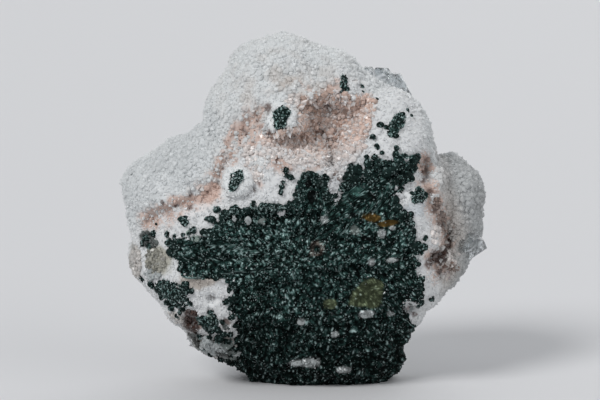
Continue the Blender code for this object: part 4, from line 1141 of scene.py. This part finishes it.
def quartz_points(surface, finish):
    """The druse's points: scattered coarse ones with a short prism, and fine ones all over, in meshes
    for the left and right of the front and of the back. Where iron stains the quartz the points are
    slender, and the fine ones are fewer and mostly clean, so that the stain shows between them."""
    points, faces, at_back = surface
    _, _, druse, _ = zones(points, at_back)
    x, above = points[:, 0], points[:, 2] > FOOT_HEIGHT
    parts = {
        "druse_front_left": ~at_back & (x < FRONT_SPLIT) & above,
        "druse_front_right": ~at_back & (x >= FRONT_SPLIT) & above,
        "druse_back_left": at_back & (x < BACK_SPLIT) & above,
        "druse_back_right": at_back & (x >= BACK_SPLIT) & above,
    }
    for number, (name, part) in enumerate(parts.items()):
        behind = "back" in name
        wanted = part * np.clip(druse, 0, 1)
        batches = []
        kinds = (DRUSE_COARSE, DRUSE_FINE_BEHIND if behind else DRUSE_FINE)
        for fine, (spacing, small, large, prism) in enumerate(kinds):
            place_seed, size_seed, shape_seed = (seed + number + 10 * fine for seed in DRUSE_SEEDS)
            at, out = spread_points(points, faces, wanted, spacing, place_seed, keep=0.95)
            rng = np.random.default_rng(size_seed)
            iron = rust(at, np.full(len(at), behind))
            stain = rise(iron, 0.2, 0.7)
            bare = np.maximum(0.7 * rise(iron, 0.85, 1.1), 0.75 * spotted(at) * (not behind))
            shown = rng.random(len(at)) > np.maximum((0.5 if fine else 0.2) * stain, bare)
            at, out, stain = at[shown], out[shown], stain[shown]
            at = at + out * heads(at)[:, None]
            swell = 1 + 0.3 * lumps(at, 6.0, 31)
            radius = rng.uniform(small, large, len(at)) * swell * (1 - 0.25 * stain)
            height = radius * rng.uniform(0.5, 1.1, len(at)) * (1 + 1.1 * stain)
            crystals, shape, corners = six_sided(at, out, radius, height, 0.3, shape_seed, prism)
            iron = 1.3 * rng.random(len(at)) ** 1.2
            tone = quartz_colour(at, np.full(len(at), behind), iron) * rng.uniform(0.96, 1.04, (len(at), 1))
            batches.append((crystals, shape, per_crystal(tone, corners, foot=0.97)))
        crystals, shape, colour = joined(batches)
        make_mesh(name, crystals, shape, finish, colour)


def white_sugar(surface, finish):
    """Low blunt crystals over the smooth white quartz, few of them on the brown spots."""
    points, faces, at_back = surface
    _, _, _, band = zones(points, at_back)
    wanted = band * (points[:, 2] > FOOT_HEIGHT)
    place_seed, size_seed, shape_seed = SUGAR_SEEDS
    at, out = spread_points(points, faces, wanted, SUGAR_SPACING, place_seed, keep=0.8)
    at = at + out * knots(at)[:, None]
    rng = np.random.default_rng(size_seed)
    shown = rng.random(len(at)) > 0.7 * spotted(at)
    at, out = at[shown], out[shown]
    radius = rng.uniform(*SUGAR_RADII, len(at))
    height = radius * rng.uniform(0.4, 1.1, len(at))
    crystals, shape, corners = six_sided(at, out, radius, height, 0.4, shape_seed)
    iron = 1.1 * rng.random(len(at))
    tone = quartz_colour(at, np.zeros(len(at), bool), iron) * rng.uniform(0.9, 1.05, (len(at), 1))
    made = make_mesh("white_sugar", crystals, shape, finish, per_crystal(tone, corners))


def green_face(finish):
    """The green plug. Its broken face is the mass's front moved out along its normals by lumps, ledges,
    creases and grit. Its outline is the green edge, made ragged by two waves, or the rim, whichever is
    nearer, and its back follows the floor of its pocket in rows that run in to the middle. Returns the
    face's points and triangles."""
    ring, turn, faces = disc_lattice(GREEN_RINGS)
    ragged = 0.45 * np.sin(37 * turn) + 0.35 * np.sin(61 * turn + 1.3)
    edge = np.minimum(reach(GREEN_EDGE, CORE_X, CORE_Z, turn) + ragged, reach(RIM, CORE_X, CORE_Z, turn))
    far = ring / GREEN_RINGS * edge
    x, z = CORE_X + far * np.cos(turn), CORE_Z + far * np.sin(turn)
    plain = np.stack([x, front_y(x, z), z], 1)
    out = normals_of(plain, faces)
    crag = plain + out * (grain(plain) + green_crag(plain))[:, None]
    grit, light = green_grit(crag)
    top = crag + out * grit[:, None]

    last = np.flatnonzero(ring == GREEN_RINGS)
    across = len(last)
    rear = []
    for share in REAR_SHARES:
        rx = CORE_X + share * (x[last] - CORE_X)
        rz = CORE_Z + share * (z[last] - CORE_Z)
        deep = np.minimum(green_floor(rx, rz), back_y(rx, rz) - 0.2)
        rear.append(np.stack([rx, np.maximum(deep, front_y(rx, rz) + PLUG_LEAST), rz], 1))
    rear[-1] = rear[-1][:1]
    place = np.arange(across)
    onward = (place + 1) % across
    rows = [last] + [len(x) + row * across + place for row in range(len(rear) - 1)]
    skirt = []
    for ahead, behind in itertools.pairwise(rows):
        skirt.append(np.stack([ahead[place], behind[place], behind[onward]], 1))
        skirt.append(np.stack([ahead[place], behind[onward], ahead[onward]], 1))
    middle = np.full(across, len(x) + (len(rear) - 1) * across)
    skirt.append(np.stack([rows[-1][place], middle, rows[-1][onward]], 1))
    points = np.concatenate([top, *rear])
    light = np.concatenate([light, np.zeros(len(points) - len(x))])
    points[:, 2] = np.maximum(points[:, 2], 0)
    whole, shape, kept = drop_flat(points, np.concatenate([faces, *skirt]))
    made = make_mesh("green_face", whole, shape, finish, green_tint(whole, light[kept]), smooth=True)
    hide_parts("celadonite_matrix")
    return top, faces


def face_grains(face, grains, glints):
    """Grains scattered over the green face, few of them on its stains. Part of them are small bright
    crystals, more of them higher up as painted light from above, and all are darker at the foot as
    painted shade."""
    top, faces = face
    place_seed, size_seed, shape_seed = GRAIN_SEEDS
    wanted = (top[:, 2] > 0.3).astype(float)
    at, out = spread_points(top, faces, wanted, GRAIN_SPACING, place_seed, keep=0.6)
    rng = np.random.default_rng(size_seed)
    shown = rng.random(len(at)) > 0.85 * marked(at)
    at, out = at[shown], out[shown]
    # Painted light: more bright grains higher up.
    bright = rng.random(len(at)) < 0.25 + 0.2 * rise(at[:, 2], 6, 34)
    kinds = (
        ("green_grains", ~bright, grains, grain_colour),
        ("green_glints", bright, glints, glint_colour),
    )
    for name, chosen, finish, colour in kinds:
        count = int(chosen.sum())
        radius = rng.uniform(*GRAIN_RADII, count)
        height = radius * rng.uniform(0.7, 1.4, count)
        place = at[chosen] + out[chosen] * rng.uniform(-0.15, 0.1, (count, 1))
        crystals, shape, corners = six_sided(place, out[chosen], radius, height, 0.5, shape_seed)
        tone = per_crystal(colour(place, rng), corners, foot=0.3)
        made = make_mesh(name, crystals, shape, finish, tone)


def hollow_lining(finish, crystal_finish):
    """The crust that lines the hollow: the mass's front with beads on it, and a rear one thickness
    behind that closes up at the edge. Over it are broad crystals in the lining's colour, and clean pale
    flakes in two sizes, most of them low down, on the right and round the lip. All are darker at the
    foot than at the tip, by painted shade."""
    ring, turn, faces = disc_lattice(CRUST_RINGS)
    edge = ring / CRUST_RINGS
    far = edge * 1.04 * reach(HOLLOW_LIP, HOLLOW_X, HOLLOW_Z, turn)
    x, z = HOLLOW_X + far * np.cos(turn), HOLLOW_Z + far * np.sin(turn)
    plain = np.stack([x, front_y(x, z), z], 1)
    out = normals_of(plain, faces)
    top = plain + out * (grain(plain) + 1.1 * beads(plain, 2.4, 27) - 0.8)[:, None]
    rear_y = top[:, 1] + CRUST_THICKNESS * rise(edge, 1.0, 0.85) + 0.05
    points, shape = doubled(top[:, 0], top[:, 2], top[:, 1], rear_y, ring, CRUST_RINGS, faces)
    made = make_mesh("hollow_lining", points, shape, finish, 0.8 * lining_colour(points), smooth=True)
    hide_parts("vug_crust")

    pale_part = np.maximum(rise(z, 62, 58), rise(x, 5, 9))
    flaky = np.clip(0.35 + 0.65 * pale_part + rise(edge, 0.7, 0.9), 0, 1)
    batches = []
    for number, (spacing, small, large, longest, clean) in enumerate(LINING_CRYSTALS):
        place_seed, size_seed, shape_seed = (seed + number for seed in LINING_SEEDS)
        wanted = flaky if clean else np.ones(len(top))
        at, out = spread_points(top, faces, wanted, spacing, place_seed, keep=0.9)
        rng = np.random.default_rng(size_seed)
        radius = rng.uniform(small, large, len(at))
        height = radius * rng.uniform(0.5 * longest, longest, len(at))
        crystals, shape, corners = six_sided(at, out, radius, height, 0.5, shape_seed, prism=0.5)
        tone = mix(lining_colour(at), 1.15 * MILK, clean * (0.25 + 0.65 * rng.random(len(at)) ** 1.3))
        # Painted shade: the crystals are darker at the foot.
        batches.append((crystals, shape, per_crystal(tone, corners, foot=0.7)))
    crystals, shape, colour = joined(batches)
    make_mesh("hollow_crystals", crystals, shape, crystal_finish, colour)


def green_cores(finish):
    """The celadonite that the quartz closed round: low mounds, each half of an oval ball with lumps and
    beads over a flat floor, under a coat of grains."""
    ring, turn, faces = disc_lattice(CORE_RINGS)
    share = ring / CORE_RINGS
    mound = 0.9 * np.sqrt(np.maximum(1 - share**2, 0))
    for number, (name, (cx, cz, wide, high, tilt)) in enumerate(CORES.items()):
        place_seed, size_seed, shape_seed = (seed + number for seed in CORE_SEEDS)
        far = share * oval_edge(wide, high, tilt, number, turn)
        x, z = cx + far * np.cos(turn), cz + far * np.sin(turn)
        plain = np.stack([x, front_y(x, z) + 0.3 - mound, z], 1)
        plain[:, 1] -= grain(plain) + 0.5 * beads(plain, 1.1, 29)
        floor = float(front_y(np.array([cx]), np.array([cz]))[0]) + CORE_DEPTH
        rear = np.where(ring == CORE_RINGS, plain[:, 1], np.maximum(floor, plain[:, 1] + 0.5))
        points, shape = doubled(x, z, plain[:, 1], rear, ring, CORE_RINGS, faces)
        at, out = spread_points(plain, faces, np.ones(len(x)), CORE_SPACING, place_seed, keep=0.95)
        rng = np.random.default_rng(size_seed)
        radius = rng.uniform(*CORE_RADII, len(at))
        grains, grain_faces, corners = six_sided(at, out, radius, radius * 1.1, 0.5, shape_seed)
        dark = np.broadcast_to(0.5 * GREEN, points.shape)
        whole, shape, colour = joined([
            (points, shape, dark), (grains, grain_faces, per_crystal(heap_colour(at, rng), corners)),
        ])
        made = make_mesh(name + "_grains", whole, shape, finish, colour)
        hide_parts(name)


def green_specks(finish):
    """Celadonite scattered in the white quartz and along the ragged edge of the green, as heaps of
    grains. Those of the edge lie at random directions from the core point, near the green edge."""
    edge_seed, heap_seed = SPECK_SEEDS
    rng = np.random.default_rng(edge_seed)
    turn = np.sort(rng.random(EDGE_SPECKS)) * math.tau
    edge = reach(GREEN_EDGE, CORE_X, CORE_Z, turn) + rng.normal(-0.1, 0.4, len(turn))
    x, z = CORE_X + edge * np.cos(turn), CORE_Z + edge * np.sin(turn)
    rows = np.concatenate([np.stack([x, z, rng.uniform(0.35, 0.8, len(x))], 1), GREEN_GRAINS, GREEN_HEADS])
    rows = rows[(rows[:, 1] > 1.0) & (share_of_rim(rows[:, 0], rows[:, 1]) < 0.97)]
    sizes = rows[:, 2:] * rng.uniform(0.8, 1.15, (len(rows), 2))
    (balls, ball_faces, _), (grains, grain_faces, corners, at, _) = heaps(
        rows[:, :2], sizes, SPECK_COAT, SPECK_RADII, heap_seed, stand=0.4
    )
    tone = per_crystal(heap_colour(at, rng), corners, foot=0.4)
    own = 0.4 * green_colour(balls)
    points, faces, colour = joined([(balls, ball_faces, own), (grains, grain_faces, tone)])
    make_mesh("green_specks", points, faces, finish, colour)


def pale_tufts(finish):
    """White and pale quartz set in the green face and between its fingers, as low heaps of crystals.
    The face's own pale spots have a heap each too."""
    pale = [row for row in FACE_SPOTS if row[5] == PALE]
    rows = [*TUFTS, *((x, z, 0.8 * wide, 0.8 * high, tone) for x, z, wide, high, _, tone in pale)]
    tone_seed, heap_seed = TUFT_SEEDS
    rng = np.random.default_rng(tone_seed)
    places = np.array([row[:4] for row in rows])
    tones = np.array([row[4] for row in rows])
    (balls, ball_faces, each), (grains, grain_faces, corners, at, owner) = heaps(
        places[:, :2], places[:, 2:], TUFT_COAT, TUFT_RADII, heap_seed, flat=0.3
    )
    own = np.repeat(tones, each, axis=0) * 0.85
    tone = mix(tones[owner], MILK, 0.35 * rng.random(len(at)) ** 2) * rng.uniform(0.6, 1.1, (len(at), 1))
    tone = per_crystal(tone, corners, foot=0.8)
    points, faces, colour = joined([(balls, ball_faces, own), (grains, grain_faces, tone)])
    make_mesh("pale_tufts", points, faces, finish, colour)


def coarse_quartz(finish):
    """Larger crystals of glassy, dusky and iron-brown quartz, scattered evenly in ovals of the front and
    leaning about. Each is darker at the foot by painted shade, the dark ones darkest, and the dark ones
    are more uneven in tone."""
    place_seed, shape_seed = COARSE_SEEDS
    rng = np.random.default_rng(place_seed)
    batches = []
    for number, (cx, cz, wide, high, count, small, large, tone) in enumerate(COARSE):
        turn, far = rng.random(count) * math.tau, np.sqrt(rng.random(count))
        x, z = cx + wide * far * np.cos(turn), cz + high * far * np.sin(turn)
        within = share_of_rim(x, z) < 0.975
        x, z, count = x[within], z[within], int(within.sum())
        at = np.stack([x, front_y(x, z), z], 1)
        at[:, 1] -= grain(at)
        radius = rng.uniform(small, large, count)
        out = unit(np.stack([rng.normal(0, 0.5, count), -np.ones(count), rng.normal(0.15, 0.5, count)], 1))
        height = radius * rng.uniform(0.7, 1.6, count)
        crystals, shape, corners = six_sided(at, out, radius, height, 0.3, shape_seed + number, prism=0.4)
        # foot is painted shade at each crystal's foot; least is the lowest of its random tone.
        foot, least = (0.8, 0.8) if min(tone) > 0.35 else (0.45, 0.5)
        colour = mix(np.broadcast_to(tone, at.shape), MILK, 0.35 * rng.random(count) ** 6)
        colour = per_crystal(colour * rng.uniform(least, 1.15, (count, 1)), corners, foot)
        batches.append((crystals, shape, colour))
    points, faces, colour = joined(batches)
    make_mesh("coarse_quartz", points, faces, finish, colour)


def stage():
    """A pale floor, soft studio lights and the camera at the photograph's angle."""
    scene = bpy.context.scene
    floor_mesh = bpy.data.meshes.new("floor")
    sides = ((-1, -1), (1, -1), (1, 1), (-1, 1))
    corners = [(FLOOR_REACH * sx, FLOOR_REACH * sy, 0) for sx, sy in sides]
    floor_mesh.from_pydata(corners, [], [(0, 1, 2, 3)])
    paper = bpy.data.materials.new("pale paper")
    paper.use_nodes = True
    shader = paper.node_tree.nodes["Principled BSDF"]
    set_inputs(shader, {"Base Color": (0.66, 0.66, 0.67, 1), "Roughness": 0.85})
    floor_mesh.materials.append(paper)
    floor = bpy.data.objects.new("floor", floor_mesh)
    scene.collection.objects.link(floor)

    world = bpy.data.worlds.new("studio")
    scene.world = world
    world.use_nodes = True
    set_inputs(world.node_tree.nodes["Background"], {"Color": (0.93, 0.96, 1.0, 1), "Strength": 0.42})

    for name, (place, softness, power) in LIGHTS.items():
        data = bpy.data.lights.new(name, "SUN")
        data.angle = math.radians(softness)
        data.energy = power
        lamp = bpy.data.objects.new(name, data)
        lamp.location = place
        lamp.rotation_euler = (Vector(LIT_POINT) - Vector(place)).to_track_quat("-Z", "Y").to_euler()
        scene.collection.objects.link(lamp)

    data = bpy.data.cameras.new("camera")
    data.lens = LENS
    data.sensor_width = 36
    data.clip_start, data.clip_end = 0.01, 20
    camera = bpy.data.objects.new("camera", data)
    lift = math.radians(CAMERA_LIFT)
    aim = Vector(CAMERA_AIM) * MM
    camera.location = aim + Vector((0, -CAMERA_AWAY * math.cos(lift), CAMERA_AWAY * math.sin(lift)))
    camera.rotation_euler = (aim - camera.location).to_track_quat("-Z", "Y").to_euler()
    scene.collection.objects.link(camera)
    scene.camera = camera
    scene.view_settings.view_transform = "Standard"


def main():
    """Lights the stage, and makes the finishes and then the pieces."""
    stage()
    mass = painted_finish("milky quartz", (0.4, 0.65), 0.06, 2200.0, 0.35, subsurface=0.12)
    druse = painted_finish("quartz points", (0.3, 0.5), 0.04, specular=0.3)
    sugar = painted_finish("sugary quartz", (0.35, 0.6), 0.05, subsurface=0.15, specular=0.35)
    coarse = painted_finish("glassy quartz", (0.12, 0.35), 0.12, specular=0.35)
    pink = painted_finish("pink quartz", (0.15, 0.4), 0.10, subsurface=0.1)
    crust = painted_finish("pink crust", (0.4, 0.65), 0.15, 1800.0, 0.4, subsurface=0.15, specular=0.3)
    green = painted_finish("celadonite", (0.6, 0.85), 0.3, specular=0.03)
    grains = painted_finish("celadonite grains", (0.4, 0.7), 0.25, specular=0.06)
    glints = painted_finish("celadonite glints", (0.15, 0.4), 0.15, specular=0.5)
    clear = clear_finish()

    surface = body()
    quartz_mass(surface, mass)
    quartz_points(surface, druse)
    white_sugar(surface, sugar)
    face = green_face(green)
    face_grains(face, grains, glints)
    hollow_lining(crust, pink)
    green_cores(grains)
    green_specks(grains)
    pale_tufts(sugar)
    coarse_quartz(coarse)
    for name in ("apophyllite_shoulder", "apophyllite_edge"):
        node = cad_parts[name]
        node.data.materials.clear()
        node.data.materials.append(clear)


main()
